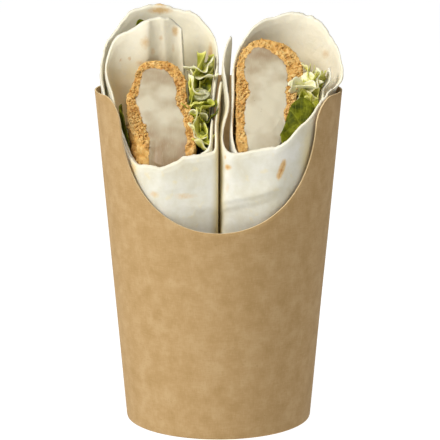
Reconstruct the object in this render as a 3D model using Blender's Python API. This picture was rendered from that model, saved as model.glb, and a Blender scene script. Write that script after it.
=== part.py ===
"""Crispy chicken wrap: the two halves of one wrap cut on the slant, side by side in a kraft paperboard cup.

Metres, +Z up. The cup's scooped front faces -Y. The origin is under the middle of the whole thing's box. The
scoop makes that box shallower at the front, so the cup's axis stands a little in front of it, at AXIS_Y.
Each half is worked out in its own frame, with the cup's axis at 0: x grows towards the other half, y towards
the back, z up.
"""

import math
from dataclasses import dataclass

import bmesh
import bpy
import numpy as np
from mathutils import Matrix

# Cup: a paperboard cone with a scooped front, a folded foot and a set-in base.
CUP_HEIGHT = 0.125
CUP_TOP_RADIUS = 0.046
CUP_FOOT_RADIUS = 0.035
BOARD = 0.0006
FOOT_FOLD_HEIGHT = 0.007
FOOT_FOLD_THICKNESS = 0.0017
SCOOP_DEPTH = 0.0368
SCOOP_HALF_ANGLE = 51.5
SCOOP_SHOULDER = 0.010
SHOULDER_ANGLE = 12.5
SCOOP_STEPS = 11
SHOULDER_STEPS = 5
RIM_STEP = 7.0
SEAM_ANGLE = 176.0
SEAM_LIP = 0.00045
SEAM_RUN = 20.0
BASE_BOARD = 0.0008
BASE_SIDES = 56
AXIS_Y = -0.00224

# Gaps between neighbouring solids.
GAP = 0.0003
FILLING_GAP = 0.0004
MIDDLE_GAP = 0.0001

# Tortilla sheet: rolled so that each turn lies inside the next one.
SHEET = 0.0012
ROLL_PITCH = 0.0016
ROLL_STEP = 10.0
STEEPEST_SLANT = 1.35
WRAP_FLOOR = FOOT_FOLD_HEIGHT + GAP + BASE_BOARD + GAP
WRAP_TALL = 0.150
TUCK_HEIGHT = 0.016
TUCK_SHARE = 0.45
TUCK_CURVE = 2.2
OVAL_POWER = 2.1
CORNER_POWER = 2.9
CORNER_FADE = 0.012
RIPPLE = 0.00025
BULGE_RISE = 0.005
SIDE_ROWS = (0.0, 0.0012, 0.004, 0.009, 0.018, 0.045, 0.080)
CUT_ROWS = 4
INNER_DROP = 0.0022
COVERED_RUN = (370.0, 350.0)

# Heights between which a detail of the roll grows from nothing to its full size.
LEAN_HEIGHTS = (0.112, 0.135)
RIPPLE_HEIGHTS = (0.060, 0.110)
SLACK_HEIGHTS = (0.095, 0.120)
PEEL_HEIGHTS = (0.092, 0.125)

# The fold's soft end and its stepped top edge, the first turn's slack and the torn cut edge, in degrees.
FOLD_RUN = 55.0
FOLD_LIP_RUN = 28.0
FOLD_LIP_SHARE = 0.28
FOLD_LOW_SHARE = 0.25
FOLD_STEP_RUN = (40.0, 26.0)
FOLD_STEP_SHARE = 0.55
FOLD_TAIL_RUN = 13.0
FOLD_CORNER_RUN = 12.0
FOLD_CORNER_SHARE = 0.52
SLACK = 0.0013
SLACK_ANGLE = 188.0
SLACK_WIDTH = 16.0
CORNER_ANGLE = 590.0
CORNER_WIDTH = 38.0
RAGGED_WIDE = 0.0005
RAGGED_FINE = 0.0004

# Fillings.
FILLING_FLOOR = 0.018
CHICKEN_LOW_RADII = (0.0100, 0.0145)
CHICKEN_POWER = 2.7
CHICKEN_SWELL = 0.020
CHICKEN_KNOBS = 0.018
CHICKEN_FOOT_SHARE = 0.78
CHICKEN_SIDES = 30
CHICKEN_ROWS = 12
CRUST = 0.0019
CRUST_REACH = 0.015
CRAG = 0.0005
LEAF = 0.0008
LEAF_DEPTH = 0.012
LEAF_SWAY = 0.30
LEAF_FRILL = 0.0012
SPINACH_SWAY = 0.12
SPINACH_ROUND = 0.0035
STANDING_SHARE = 0.6
STANDING_TRACK = 0.82
LYING_TRACK = 0.10
LYING_ROUND = 0.38
LYING_CROWN = 0.0008
SLICE_RADIUS = 0.0024
SLICE_THICKNESS = 0.0022
SLICE_SIDES = 14
SLICE_LEAN = 40.0
LEAST_ROOM = 0.0002
SEED = 7

# Cells of each lattice: along the piece, through its thickness and up.
CORE_CELLS = (10, 1, 9)
FRILLY_CELLS = (9, 1, 3)
STANDING_CELLS = (9, 1, 5)
LYING_CELLS = (10, 1, 10)
POCKET_CELLS = (6, 1, 4)

KRAFT = (0.50, 0.36, 0.20, 1.0)
TORTILLA = (0.83, 0.79, 0.68, 1.0)
CHICKEN = (0.56, 0.27, 0.08, 1.0)
LETTUCE = (0.37, 0.45, 0.06, 1.0)
SPINACH = (0.13, 0.20, 0.02, 1.0)


@dataclass
class Half:
    """One cut half of the wrap. Low values hold at its tucked end, high values at its tall back edge.

    Each wave of the torn edge and each lobe of the chicken's crust is its angle, its half width and its size.
    """

    name: str
    side: float
    centre_low: tuple
    centre_high: tuple
    radii_low: tuple
    radii_high: tuple
    lean_over: float
    square_below: float
    cut_front: float
    cut_slope: float
    roll_start: float
    roll_end: float
    fold_in: float
    fold_end: float
    fold_rise: float
    corner_rise: float
    overhang: float
    peel_out: float
    peel_start: float
    chicken_centre_low: tuple
    chicken_centre_high: tuple
    chicken_radii: tuple
    chicken_lean: float
    chicken_taper: float
    edge_waves: tuple
    chicken_lobes: tuple


CUT_FRONT_Y = -0.038

LEFT = Half(
    name="left",
    side=-1.0,
    centre_low=(-0.0175, -0.006),
    centre_high=(-0.0212, -0.0085),
    radii_low=(0.0176, 0.029),
    radii_high=(0.0268, 0.030),
    lean_over=0.0020,
    square_below=0.112,
    cut_front=0.0990,
    cut_slope=0.961,
    roll_start=60.0,
    roll_end=720.0,
    fold_in=0.0150,
    fold_end=168.0,
    fold_rise=0.0125,
    corner_rise=0.0,
    overhang=0.0,
    peel_out=0.0006,
    peel_start=670.0,
    chicken_centre_low=(-0.0010, -0.0030),
    chicken_centre_high=(-0.0012, -0.0134),
    chicken_radii=(0.0124, 0.0218),
    chicken_lean=-0.08,
    chicken_taper=0.0,
    edge_waves=((303.0, 24.0, 0.0042), (248.0, 20.0, -0.0026)),
    chicken_lobes=(
        (315.0, 18.0, 0.0036),
        (238.0, 22.0, 0.0045),
        (126.0, 24.0, -0.0036),
        (26.0, 24.0, -0.0030),
    ),
)

RIGHT = Half(
    name="right",
    side=1.0,
    centre_low=(-0.0175, -0.006),
    centre_high=(-0.0268, -0.011),
    radii_low=(0.0176, 0.029),
    radii_high=(0.0236, 0.029),
    lean_over=0.0,
    square_below=0.120,
    cut_front=0.1030,
    cut_slope=0.90,
    roll_start=160.0,
    roll_end=760.0,
    fold_in=0.0060,
    fold_end=200.0,
    fold_rise=0.0,
    corner_rise=0.0045,
    overhang=0.0024,
    peel_out=0.0032,
    peel_start=695.0,
    chicken_centre_low=(0.0015, -0.0030),
    chicken_centre_high=(0.0084, -0.0052),
    chicken_radii=(0.0124, 0.0238),
    chicken_lean=-0.125,
    chicken_taper=0.22,
    edge_waves=((262.0, 38.0, 0.0024),),
    chicken_lobes=((118.0, 22.0, -0.0048), (168.0, 20.0, -0.0022), (300.0, 20.0, 0.0030)),
)


def clear_scene():
    for obj in list(bpy.data.objects):
        bpy.data.objects.remove(obj)


def material(name, colour, roughness):
    """A plain Principled material with the sub-part's colour."""
    made = bpy.data.materials.new(name)
    made.use_nodes = True
    shader = made.node_tree.nodes["Principled BSDF"]
    shader.inputs["Base Color"].default_value = colour
    shader.inputs["Roughness"].default_value = roughness
    shader.inputs["Metallic"].default_value = 0.0
    return made


def add_object(name, points, faces, look, smooth=True):
    """An object from world points and faces, with its look."""
    mesh = bpy.data.meshes.new(name)
    mesh.from_pydata([tuple(point) for point in points], [], [tuple(face) for face in faces])
    mesh.materials.append(look)
    if smooth:
        mesh.shade_smooth()
        mesh.set_sharp_from_angle(angle=math.radians(40))
    obj = bpy.data.objects.new(name, mesh)
    obj.location.y = AXIS_Y
    bpy.context.scene.collection.objects.link(obj)
    return obj


def smooth_step(value, low, high):
    """0 below low, 1 above high, an S curve between."""
    share = np.clip((value - low) / (high - low), 0.0, 1.0)
    return share * share * (3.0 - 2.0 * share)


def off_angle(angle, at):
    """Degrees from the angle at, the short way round, -180 to 180."""
    return np.mod(angle - at + 180.0, 360.0) - 180.0


def soft_least(*values):
    """The least of the values, rounded off where two of them meet."""
    sharpness = 24.0
    total = sum(np.asarray(value, float) ** -sharpness for value in values)
    return total ** (-1.0 / sharpness)


# ---- Cup ----


def cup_radius(z):
    """Outer radius of the paperboard cone at height z."""
    return CUP_FOOT_RADIUS + (CUP_TOP_RADIUS - CUP_FOOT_RADIUS) * z / CUP_HEIGHT


def rim_columns():
    """(angle from the front, rim height) round the cup: half an ellipse, two round shoulders, a level rim."""
    low = CUP_HEIGHT - SCOOP_SHOULDER
    half = []
    for step in range(SCOOP_STEPS + 1):
        turn = math.radians(90.0 * step / SCOOP_STEPS)
        half.append((SCOOP_HALF_ANGLE * math.sin(turn), low - SCOOP_DEPTH * math.cos(turn)))
    for step in range(1, SHOULDER_STEPS + 1):
        turn = math.radians(90.0 * step / SHOULDER_STEPS)
        angle = SCOOP_HALF_ANGLE + SHOULDER_ANGLE * (1.0 - math.cos(turn))
        half.append((angle, low + SCOOP_SHOULDER * math.sin(turn)))
    last = SCOOP_HALF_ANGLE + SHOULDER_ANGLE
    count = round((180.0 - last) / RIM_STEP)
    for step in range(1, count + 1):
        half.append((last + (180.0 - last) * step / count, CUP_HEIGHT))
    other = [(360.0 - angle, height) for angle, height in half[1:-1]]
    return half + other[::-1]


def seam_lift(angle):
    """The lap of the board's side seam: a lip at the seam that runs out over the next stretch."""
    past = angle - SEAM_ANGLE
    return SEAM_LIP * (1.0 - past / SEAM_RUN) if 0.0 <= past <= SEAM_RUN else 0.0


def cup_wall(look):
    """The cone with its scooped rim and the board folded in and up at the foot."""
    columns = rim_columns()
    points = []
    for angle, height in columns:
        turn = math.radians(angle)
        lift = seam_lift(angle)
        profile = (
            (cup_radius(0.0) + lift, 0.0),
            (cup_radius(height) + lift, height),
            (cup_radius(height) - BOARD, height),
            (cup_radius(FOOT_FOLD_HEIGHT) - BOARD, FOOT_FOLD_HEIGHT),
            (cup_radius(FOOT_FOLD_HEIGHT) - FOOT_FOLD_THICKNESS, FOOT_FOLD_HEIGHT),
            (cup_radius(0.0) - FOOT_FOLD_THICKNESS, 0.0),
        )
        points += [(radius * math.sin(turn), -radius * math.cos(turn), z) for radius, z in profile]
    faces = []
    size = 6
    for column in range(len(columns)):
        here = column * size
        after = (column + 1) % len(columns) * size
        for row in range(size):
            above = (row + 1) % size
            faces.append((here + row, after + row, after + above, here + above))
    return add_object("cup_wall", points, faces, look)


def cup_base(look):
    """The set-in round base, resting on the folded foot."""
    low = FOOT_FOLD_HEIGHT + GAP
    high = WRAP_FLOOR - GAP
    radius = cup_radius(low) - BOARD - GAP
    points = []
    for z in (low, high):
        for side in range(BASE_SIDES):
            turn = 2.0 * math.pi * side / BASE_SIDES
            points.append((radius * math.cos(turn), radius * math.sin(turn), z))
    faces = [tuple(reversed(range(BASE_SIDES))), tuple(range(BASE_SIDES, 2 * BASE_SIDES))]
    for side in range(BASE_SIDES):
        after = (side + 1) % BASE_SIDES
        faces.append((side, after, BASE_SIDES + after, BASE_SIDES + side))
    return add_object("cup_base", points, faces, look)


# ---- The rolled tortilla ----


def share_of_height(z):
    """0 at the wrap's tucked end, 1 at its tall back edge, slow at first."""
    return np.clip((z - WRAP_FLOOR) / (WRAP_TALL - WRAP_FLOOR), 0.0, 1.05) ** 1.5


def between(low, high, share):
    return low + (high - low) * share


def centre_of(half, z):
    share = share_of_height(z)
    return tuple(between(half.centre_low[i], half.centre_high[i], share) for i in (0, 1))


def room_radius(half, z):
    """Radius of the free space in the cup, and above its rim a little more, where the half bulges out."""
    inside = cup_radius(np.minimum(z, CUP_HEIGHT)) - BOARD - GAP
    return inside + (BOARD + GAP + half.overhang) * smooth_step(z, CUP_HEIGHT + GAP, CUP_HEIGHT + BULGE_RISE)


def outline_radius(half, angle, z):
    """Distance from the half's centre to its outer face: an oval, held in by the cup and the other half."""
    turn = np.radians(angle)
    cx, cy = centre_of(half, z)
    share = share_of_height(z)
    wide = between(half.radii_low[0], half.radii_high[0], share)
    deep = between(half.radii_low[1], half.radii_high[1], share)
    cos, sin = np.cos(turn), np.sin(turn)
    corner = np.clip(-2.0 * cos * sin, 0.0, 1.0) * (cos > 0.0)
    corner = corner * (1.0 - smooth_step(z, half.square_below - CORNER_FADE, half.square_below + CORNER_FADE))
    power = OVAL_POWER + CORNER_POWER * corner
    oval = (np.abs(cos / wide) ** power + np.abs(sin / deep) ** power) ** (-1.0 / power)
    along = cx * cos + cy * sin
    room = room_radius(half, z)
    cup = np.sqrt(along**2 - cx**2 - cy**2 + room**2) - along
    middle = (half.lean_over * smooth_step(z, *LEAN_HEIGHTS) - MIDDLE_GAP - cx) / np.maximum(cos, 0.05)
    ripple = RIPPLE * (np.sin(5.0 * turn + 40.0 * z) - 1.0) * smooth_step(z, *RIPPLE_HEIGHTS)
    return soft_least(oval, cup, middle) + ripple


def tuck(z):
    """How far the sheet is drawn in towards the tucked end, as a factor of its radius."""
    share = np.clip((z - WRAP_FLOOR) / TUCK_HEIGHT, 0.0, 1.0)
    return 1.0 - TUCK_SHARE * (1.0 - share) ** TUCK_CURVE


def roll_radius(half, angle, z, inward):
    """Radius of the rolled sheet: inward is 0 on its outer face and SHEET on its inner one."""
    radius = outline_radius(half, angle, z)
    ahead = outline_radius(half, angle + 1.0, z)
    slope = (ahead - radius) / (math.radians(1.0) * radius)
    slant = np.minimum(np.sqrt(1.0 + slope**2), STEEPEST_SLANT)
    depth = ROLL_PITCH * (half.roll_end - angle) / 360.0
    high = share_of_height(z)
    fold = half.fold_in * (1.0 - smooth_step(angle, half.fold_end - FOLD_RUN, half.fold_end))
    lip = 1.0 - smooth_step(angle, half.roll_start, half.roll_start + FOLD_LIP_RUN)
    fold = fold * (1.0 - FOLD_LIP_SHARE * lip) * between(FOLD_LOW_SHARE, 1.0, high)
    slack = SLACK * np.exp(-(((angle - SLACK_ANGLE) / SLACK_WIDTH) ** 2)) * smooth_step(z, *SLACK_HEIGHTS)
    peel = half.peel_out * smooth_step(angle, half.peel_start, half.roll_end)
    peel = peel * smooth_step(z, *PEEL_HEIGHTS)
    return tuck(z) * (radius - fold) - (depth + inward) * slant - slack + peel


def cut_height(half, y):
    """Height of the slanting cut at depth y."""
    return half.cut_front + half.cut_slope * (y - CUT_FRONT_Y)


def edge_height(half, angle, inward):
    """Height at which the sheet meets the cut, found by stepping towards it."""
    turn = np.radians(angle)
    step_start, step_end = (half.fold_end - run for run in FOLD_STEP_RUN)
    tail_start = half.fold_end - FOLD_TAIL_RUN
    corner_end = half.roll_start + FOLD_CORNER_RUN
    fallen = FOLD_STEP_SHARE * smooth_step(angle, step_start, step_end)
    fallen = fallen + (1.0 - FOLD_STEP_SHARE) * smooth_step(angle, tail_start, half.fold_end)
    fallen = fallen + FOLD_CORNER_SHARE * (1.0 - smooth_step(angle, half.roll_start, corner_end))
    rise = half.fold_rise * (1.0 - fallen)
    rise = rise + half.corner_rise * np.exp(-(((angle - CORNER_ANGLE) / CORNER_WIDTH) ** 2))
    covered_start, covered_end = (half.roll_end - run for run in COVERED_RUN)
    covered = 1.0 - smooth_step(angle, covered_start, covered_end)
    rise = rise - INNER_DROP * covered * smooth_step(-np.sin(turn), 0.1, 0.5)
    for at, width, size in half.edge_waves:
        rise = rise + size * np.exp(-((off_angle(angle, at) / width) ** 4))
    ragged = RAGGED_WIDE * np.sin(7.0 * turn + 1.0) + RAGGED_FINE * np.sin(13.0 * turn)
    z = np.full(np.shape(angle), half.cut_front + 0.02)
    for _ in range(12):
        y = centre_of(half, z)[1] + roll_radius(half, angle, z, inward) * np.sin(turn)
        z = 0.5 * z + 0.5 * (cut_height(half, y) + rise + ragged)
    return z


def to_world(half, x, y, z):
    return np.stack([-half.side * x, y, z], axis=-1)


def block_faces(counts, flip):
    """Triangles on the six sides of a lattice of counts cells, with opposite sides split alike."""
    sizes = [count + 1 for count in counts]

    def index(i, j, k):
        return (i * sizes[1] + j) * sizes[2] + k

    faces = []
    for axis in range(3):
        first, second = [other for other in range(3) if other != axis]
        for end in (0, counts[axis]):
            for i in range(counts[first]):
                for j in range(counts[second]):
                    corner = []
                    for di, dj in ((0, 0), (1, 0), (1, 1), (0, 1)):
                        place = [0, 0, 0]
                        place[axis], place[first], place[second] = end, i + di, j + dj
                        corner.append(index(*place))
                    forward = (end == 0) == (axis == 1)
                    if forward == flip:
                        corner = [corner[0], corner[3], corner[2], corner[1]]
                    faces.append((corner[0], corner[1], corner[2]))
                    faces.append((corner[0], corner[2], corner[3]))
    return faces


def block(name, place, counts, flip, look):
    """A closed solid: the surface of a lattice whose points place(i, j, k) gives for shares 0 to 1."""
    shares = np.meshgrid(*[np.linspace(0.0, 1.0, count + 1) for count in counts], indexing="ij")
    points = place(*shares).reshape(-1, 3)
    faces = block_faces(counts, flip)
    used = sorted({vertex for face in faces for vertex in face})
    renumber = {old: new for new, old in enumerate(used)}
    faces = [tuple(renumber[vertex] for vertex in face) for face in faces]
    return add_object(name, points[used], faces, look)


def tortilla(half, look):
    """The whole sheet of one half, from its folded inner end to its loose outer end."""
    turns = round((half.roll_end - half.roll_start) / ROLL_STEP)
    rows = len(SIDE_ROWS) - 1 + CUT_ROWS
    straight = WRAP_FLOOR + SIDE_ROWS[-1]

    def place(along, through, up):
        angle = half.roll_start + (half.roll_end - half.roll_start) * along
        inward = SHEET * through
        row = up * rows
        lower = WRAP_FLOOR + np.interp(row, range(len(SIDE_ROWS)), SIDE_ROWS)
        share = np.clip((row - len(SIDE_ROWS) + 1) / CUT_ROWS, 0.0, 1.0)
        z = np.where(share > 0.0, between(straight, edge_height(half, angle, inward), share), lower)
        radius = roll_radius(half, angle, z, inward)
        cx, cy = centre_of(half, z)
        turn = np.radians(angle)
        return to_world(half, cx + radius * np.cos(turn), cy + radius * np.sin(turn), z)

    return block(f"tortilla_{half.name}", place, (turns, 1, rows), half.side > 0.0, look)


# ---- Fillings ----


def inner_bound(half, angle, z):
    """Radius of the space inside the roll, seen from the half's centre."""
    margin = 14.0
    first = half.roll_start - margin
    turned = first + np.mod(angle - first, 360.0)
    return roll_radius(half, np.maximum(turned, half.roll_start), z, SHEET)


def chicken_middle(half, z):
    cx, cy = centre_of(half, z)
    share = share_of_height(z)
    low, high = half.chicken_centre_low, half.chicken_centre_high
    return cx + between(low[0], high[0], share), cy + between(low[1], high[1], share)


def reach(half, angle, z):
    """Distance from the chicken's middle to the roll's inner face, found by halving the interval."""
    turn = np.radians(angle)
    mx, my = chicken_middle(half, z)
    cx, cy = centre_of(half, z)
    near = np.zeros(np.shape(turn + z))
    far = near + 0.060
    for _ in range(18):
        half_way = 0.5 * (near + far)
        x = mx + half_way * np.cos(turn) - cx
        y = my + half_way * np.sin(turn) - cy
        inside = np.hypot(x, y) < inner_bound(half, np.degrees(np.arctan2(y, x)), z)
        near = np.where(inside, half_way, near)
        far = np.where(inside, far, half_way)
    return near


def chicken_radius(half, angle, z):
    """The strip's outline: a rounded box that leans and tapers, with uneven lobes, held in by the roll."""
    turn = np.radians(angle)
    share = share_of_height(z)
    wide = between(CHICKEN_LOW_RADII[0], half.chicken_radii[0], share)
    deep = between(CHICKEN_LOW_RADII[1], half.chicken_radii[1], share)
    cos, sin = np.cos(turn), np.sin(turn)
    along = sin / deep
    across = (cos - half.chicken_lean * sin) / (wide * (1.0 + half.chicken_taper * sin))
    box = (np.abs(across) ** CHICKEN_POWER + np.abs(along) ** CHICKEN_POWER) ** (-1.0 / CHICKEN_POWER)
    swell = CHICKEN_SWELL * np.sin(3.0 * turn + 55.0 * z)
    knobs = CHICKEN_KNOBS * np.sin(7.0 * turn - 90.0 * z)
    box = box * (1.0 + swell + knobs)
    for at, width, size in half.chicken_lobes:
        box = box + size * share * np.exp(-((off_angle(angle, at) / width) ** 2))
    return soft_least(box, reach(half, angle, z) - FILLING_GAP - CRAG)


def chicken(half, look, dice):
    """One strip of crumbed chicken through the half, its crust in crags, cut off on the slant."""
    angles = np.arange(CHICKEN_SIDES) * 360.0 / CHICKEN_SIDES
    turn = np.radians(angles)
    top = np.full(CHICKEN_SIDES, half.cut_front + 0.02)
    for _ in range(12):
        y = chicken_middle(half, top)[1] + chicken_radius(half, angles, top) * np.sin(turn)
        top = 0.5 * top + 0.5 * cut_height(half, y)
    rings = []
    for row in range(CHICKEN_ROWS + 1):
        share = row / CHICKEN_ROWS
        z = between(FILLING_FLOOR, top, share)
        radius = chicken_radius(half, angles, z)
        if 0 < row < CHICKEN_ROWS:
            radius = radius + CRAG * dice.uniform(-1.0, 1.0, CHICKEN_SIDES)
            z = z + CRAG * dice.uniform(-1.0, 1.0, CHICKEN_SIDES)
        mx, my = chicken_middle(half, z)
        radius = radius * (CHICKEN_FOOT_SHARE if row == 0 else 1.0)
        rings.append(to_world(half, mx + radius * np.cos(turn), my + radius * np.sin(turn), z))
    rim = rings[-1]
    middle = rim.mean(axis=0)
    for share, lift in ((1.0 - CRUST / CRUST_REACH, -0.0003), (0.5, 0.0005)):
        ring = middle + (rim - middle) * share
        ring[:, 2] += lift
        rings.append(ring)
    middle[2] += 0.0008
    foot = rings[0].mean(axis=0)
    points = np.concatenate(rings + [middle[None], foot[None]])
    peak, floor = len(points) - 2, len(points) - 1
    faces = []
    for ring in range(len(rings) - 1):
        for side in range(CHICKEN_SIDES):
            after = (side + 1) % CHICKEN_SIDES
            low, high = ring * CHICKEN_SIDES, (ring + 1) * CHICKEN_SIDES
            faces.append((low + side, low + after, high + after))
            faces.append((low + side, high + after, high + side))
    last = (len(rings) - 1) * CHICKEN_SIDES
    for side in range(CHICKEN_SIDES):
        after = (side + 1) % CHICKEN_SIDES
        faces.append((last + side, last + after, peak))
        faces.append((after, side, floor))
    if half.side > 0.0:
        faces = [face[::-1] for face in faces]
    return add_object(f"chicken_{half.name}", points, faces, look, smooth=False)


def beside(half, angle, across, z, shift=0.0):
    """World place beside the chicken: across is 0 at its crust and 1 at the roll's inner face."""
    near = chicken_radius(half, angle, z) + FILLING_GAP + CRAG
    far = np.maximum(reach(half, angle, z) - FILLING_GAP, near + LEAST_ROOM)
    radius = np.clip(between(near, far, across) + shift, near, far)
    mx, my = chicken_middle(half, z)
    turn = np.radians(angle)
    return to_world(half, mx + radius * np.cos(turn), my + radius * np.sin(turn), z)


def level_at(half, angle, across, drop):
    """Height of the cut, less drop, at a place beside the chicken."""
    z = np.full(np.shape(angle), half.cut_front + 0.015)
    for _ in range(10):
        y = beside(half, angle, across, z)[..., 1]
        z = 0.5 * z + 0.5 * (cut_height(half, y) - drop)
    return z


def salad_core(half, name, span, drop, look):
    """The packed salad under the leaves that show, in the space beside the chicken."""

    def place(along, through, up):
        angle = between(span[0], span[1], along)
        across = between(0.04, 0.96, through)
        top = level_at(half, angle, across, drop)
        return beside(half, angle, across, between(FILLING_FLOOR, top, up))

    return block(name, place, CORE_CELLS, half.side < 0.0, look)


def frilly_leaf(half, name, span, across, waves, drop, look):
    """A thin leaf on edge beside the chicken, its waves growing towards its frilled upper edge."""

    def place(along, through, up):
        angle = between(span[0], span[1], along)
        sway = LEAF_SWAY * between(0.35, 1.0, up) * np.sin(2.0 * math.pi * waves * along + across * 9.0)
        track = np.clip(across + sway, 0.10, 0.90)
        frill = LEAF_FRILL * np.sin(2.0 * math.pi * (waves * 1.7) * along + 2.0)
        top = level_at(half, angle, track, drop - frill)
        z = between(top - LEAF_DEPTH, top, up)
        return beside(half, angle, track, z, LEAF * (through - 0.5))

    return block(name, place, FRILLY_CELLS, half.side < 0.0, look)


def keep_largest_shell(mesh):
    """Drops the loose scraps and the sealed hollows that a union leaves, which are shells of their own."""
    body = bmesh.new()
    body.from_mesh(mesh)
    waiting = set(body.verts)
    shells = []
    while waiting:
        shell = set()
        front = [waiting.pop()]
        while front:
            vertex = front.pop()
            shell.add(vertex)
            near = [edge.other_vert(vertex) for edge in vertex.link_edges]
            fresh = [other for other in near if other in waiting]
            waiting.difference_update(fresh)
            front.extend(fresh)
        shells.append(shell)
    largest = max(shells, key=len)
    spare = [vertex for shell in shells if shell is not largest for vertex in shell]
    bmesh.ops.delete(body, geom=spare, context="VERTS")
    body.to_mesh(mesh)
    body.free()


def pickle_slice(half, name, angle, across, drop, look):
    """A small round slice lying on the salad, leaning with the cut."""
    angles = np.array([angle])
    top = level_at(half, angles, across, drop)
    centre = beside(half, angles, across, top)[0]
    body = bmesh.new()
    place = Matrix.Translation(centre) @ Matrix.Rotation(math.radians(SLICE_LEAN), 4, "X")
    bmesh.ops.create_cone(
        body,
        cap_ends=True,
        segments=SLICE_SIDES,
        radius1=SLICE_RADIUS,
        radius2=SLICE_RADIUS,
        depth=SLICE_THICKNESS,
        matrix=place,
    )
    points = [vertex.co[:] for vertex in body.verts]
    faces = [[vertex.index for vertex in face.verts] for face in body.faces]
    body.free()
    return add_object(name, points, faces, look)


def joined(core, pieces):
    """The core with its pieces fused on by one Boolean union."""
    group = bpy.data.collections.new(core.name + "_pieces")
    for piece in pieces:
        bpy.context.scene.collection.objects.unlink(piece)
        group.objects.link(piece)
    bpy.context.scene.collection.children.link(group)
    union = core.modifiers.new("Union", "BOOLEAN")
    union.operation = "UNION"
    union.operand_type = "COLLECTION"
    union.collection = group
    union.solver = "EXACT"
    bpy.context.view_layer.update()
    result = bpy.data.meshes.new_from_object(core.evaluated_get(bpy.context.evaluated_depsgraph_get()))
    core.modifiers.clear()
    keep_largest_shell(result)
    core.data = result
    for piece in pieces:
        bpy.data.objects.remove(piece)
    bpy.data.collections.remove(group)
    return core


def salad(half, name, span, drop, leaves, slices, look):
    """A heap of lettuce: one packed core with the leaves and pickle slices that show fused on."""
    core = salad_core(half, name, span, drop, look)
    pieces = []
    for number, (leaf_span, across, waves, lower) in enumerate(leaves):
        pieces.append(frilly_leaf(half, f"{name}_leaf_{number}", leaf_span, across, waves, lower, look))
    for number, (angle, across, lower) in enumerate(slices):
        pieces.append(pickle_slice(half, f"{name}_slice_{number}", angle, across, lower, look))
    return joined(core, pieces)


def standing_leaf(half, name, span, across, height, drop, look):
    """A single broad leaf standing between the chicken and the roll."""

    def place(along, through, up):
        angle = between(span[0], span[1], along)
        track = across + SPINACH_SWAY * np.sin(2.0 * math.pi * along)
        round_off = SPINACH_ROUND * (2.0 * along - 1.0) ** 2
        top = level_at(half, angle, track, drop + round_off)
        z = between(top - height, top, up)
        return beside(half, angle, track, z, LEAF * (through - 0.5))

    return block(name, place, STANDING_CELLS, half.side < 0.0, look)


def lying_leaf(half, name, stem, blade, height, drop, look):
    """A broad leaf: its lower part stands against the roll, its blade bends over in line with the cut."""

    def place(along, through, up):
        standing = np.clip(up / STANDING_SHARE, 0.0, 1.0)
        lying = np.clip((up - STANDING_SHARE) / (1.0 - STANDING_SHARE), 0.0, 1.0)
        spread = smooth_step(up, 0.2, STANDING_SHARE)
        angle = between(between(stem[0], blade[0], spread), between(stem[1], blade[1], spread), along)
        tip = LYING_TRACK + LYING_ROUND * (2.0 * along - 1.0) ** 4
        track = between(STANDING_TRACK, tip, lying)
        crown = LYING_CROWN * np.sin(math.pi * lying)
        top = level_at(half, angle, track, drop - crown)
        bend = 0.5 * math.pi * smooth_step(up, STANDING_SHARE - 0.1, STANDING_SHARE + 0.1)
        offset = LEAF * (through - 0.5)
        z = top - height * (1.0 - standing) + offset * np.sin(bend)
        return beside(half, angle, track, z, offset * np.cos(bend))

    return block(name, place, LYING_CELLS, half.side < 0.0, look)


def pocket_leaf(half, name, span, across, height, drop, look):
    """A small leaf standing in the pocket between the fold and the next turn of the roll."""

    def radius_at(angle, z, share, shift=0.0):
        near = roll_radius(half, angle, z, 0.0) + FILLING_GAP
        far = roll_radius(half, angle + 360.0, z, SHEET) - FILLING_GAP
        return between(near, far, share) + shift

    def place(along, through, up):
        angle = between(span[0], span[1], along)
        turn = np.radians(angle)
        share = across + SPINACH_SWAY * np.sin(2.0 * math.pi * along)
        top = np.full(np.shape(angle), WRAP_TALL)
        for _ in range(10):
            y = centre_of(half, top)[1] + radius_at(angle, top, share) * np.sin(turn)
            top = 0.5 * top + 0.5 * (cut_height(half, y) - drop)
        z = top - height * (1.0 - up)
        radius = radius_at(angle, z, share, LEAF * (through - 0.5))
        cx, cy = centre_of(half, z)
        return to_world(half, cx + radius * np.cos(turn), cy + radius * np.sin(turn), z)

    return block(name, place, POCKET_CELLS, half.side < 0.0, look)


LEFT_LEAVES = (
    ((-32.0, 22.0), 0.55, 2.0, 0.0005),
    ((-20.0, 40.0), 0.25, 2.2, 0.0000),
    ((0.0, 50.0), 0.72, 2.4, 0.0004),
    ((24.0, 56.0), 0.35, 0.9, -0.0040),
)
RIGHT_LEAVES = (
    ((148.0, 184.0), 0.42, 1.6, -0.0010),
    ((152.0, 186.0), 0.66, 1.8, 0.0006),
    ((148.0, 182.0), 0.22, 1.4, 0.0000),
)
LEFT_SLICES = ((18.0, 0.55, 0.0015),)


def main():
    clear_scene()
    dice = np.random.default_rng(SEED)
    kraft = material("kraft paperboard", KRAFT, 0.85)
    bread = material("wheat tortilla", TORTILLA, 0.75)
    crumb = material("fried crumb", CHICKEN, 0.65)
    lettuce = material("lettuce", LETTUCE, 0.45)
    leaf = material("spinach leaf", SPINACH, 0.40)
    cup_wall(kraft)
    cup_base(kraft)
    for half in (LEFT, RIGHT):
        tortilla(half, bread)
        chicken(half, crumb, dice)
    salad(LEFT, "lettuce_left", (-34.0, 52.0), 0.004, LEFT_LEAVES, LEFT_SLICES, lettuce)
    salad(RIGHT, "lettuce_right", (150.0, 186.0), 0.005, RIGHT_LEAVES, (), lettuce)
    standing_leaf(LEFT, "spinach_left", (150.0, 208.0), 0.50, 0.026, 0.002, leaf)
    lying_leaf(RIGHT, "spinach_right", (204.0, 240.0), (190.0, 250.0), 0.040, 0.0010, leaf)
    pocket_leaf(LEFT, "spinach_fold", (108.0, 128.0), 0.62, 0.024, 0.0, leaf)


main()
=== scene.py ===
import itertools
import math

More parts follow.
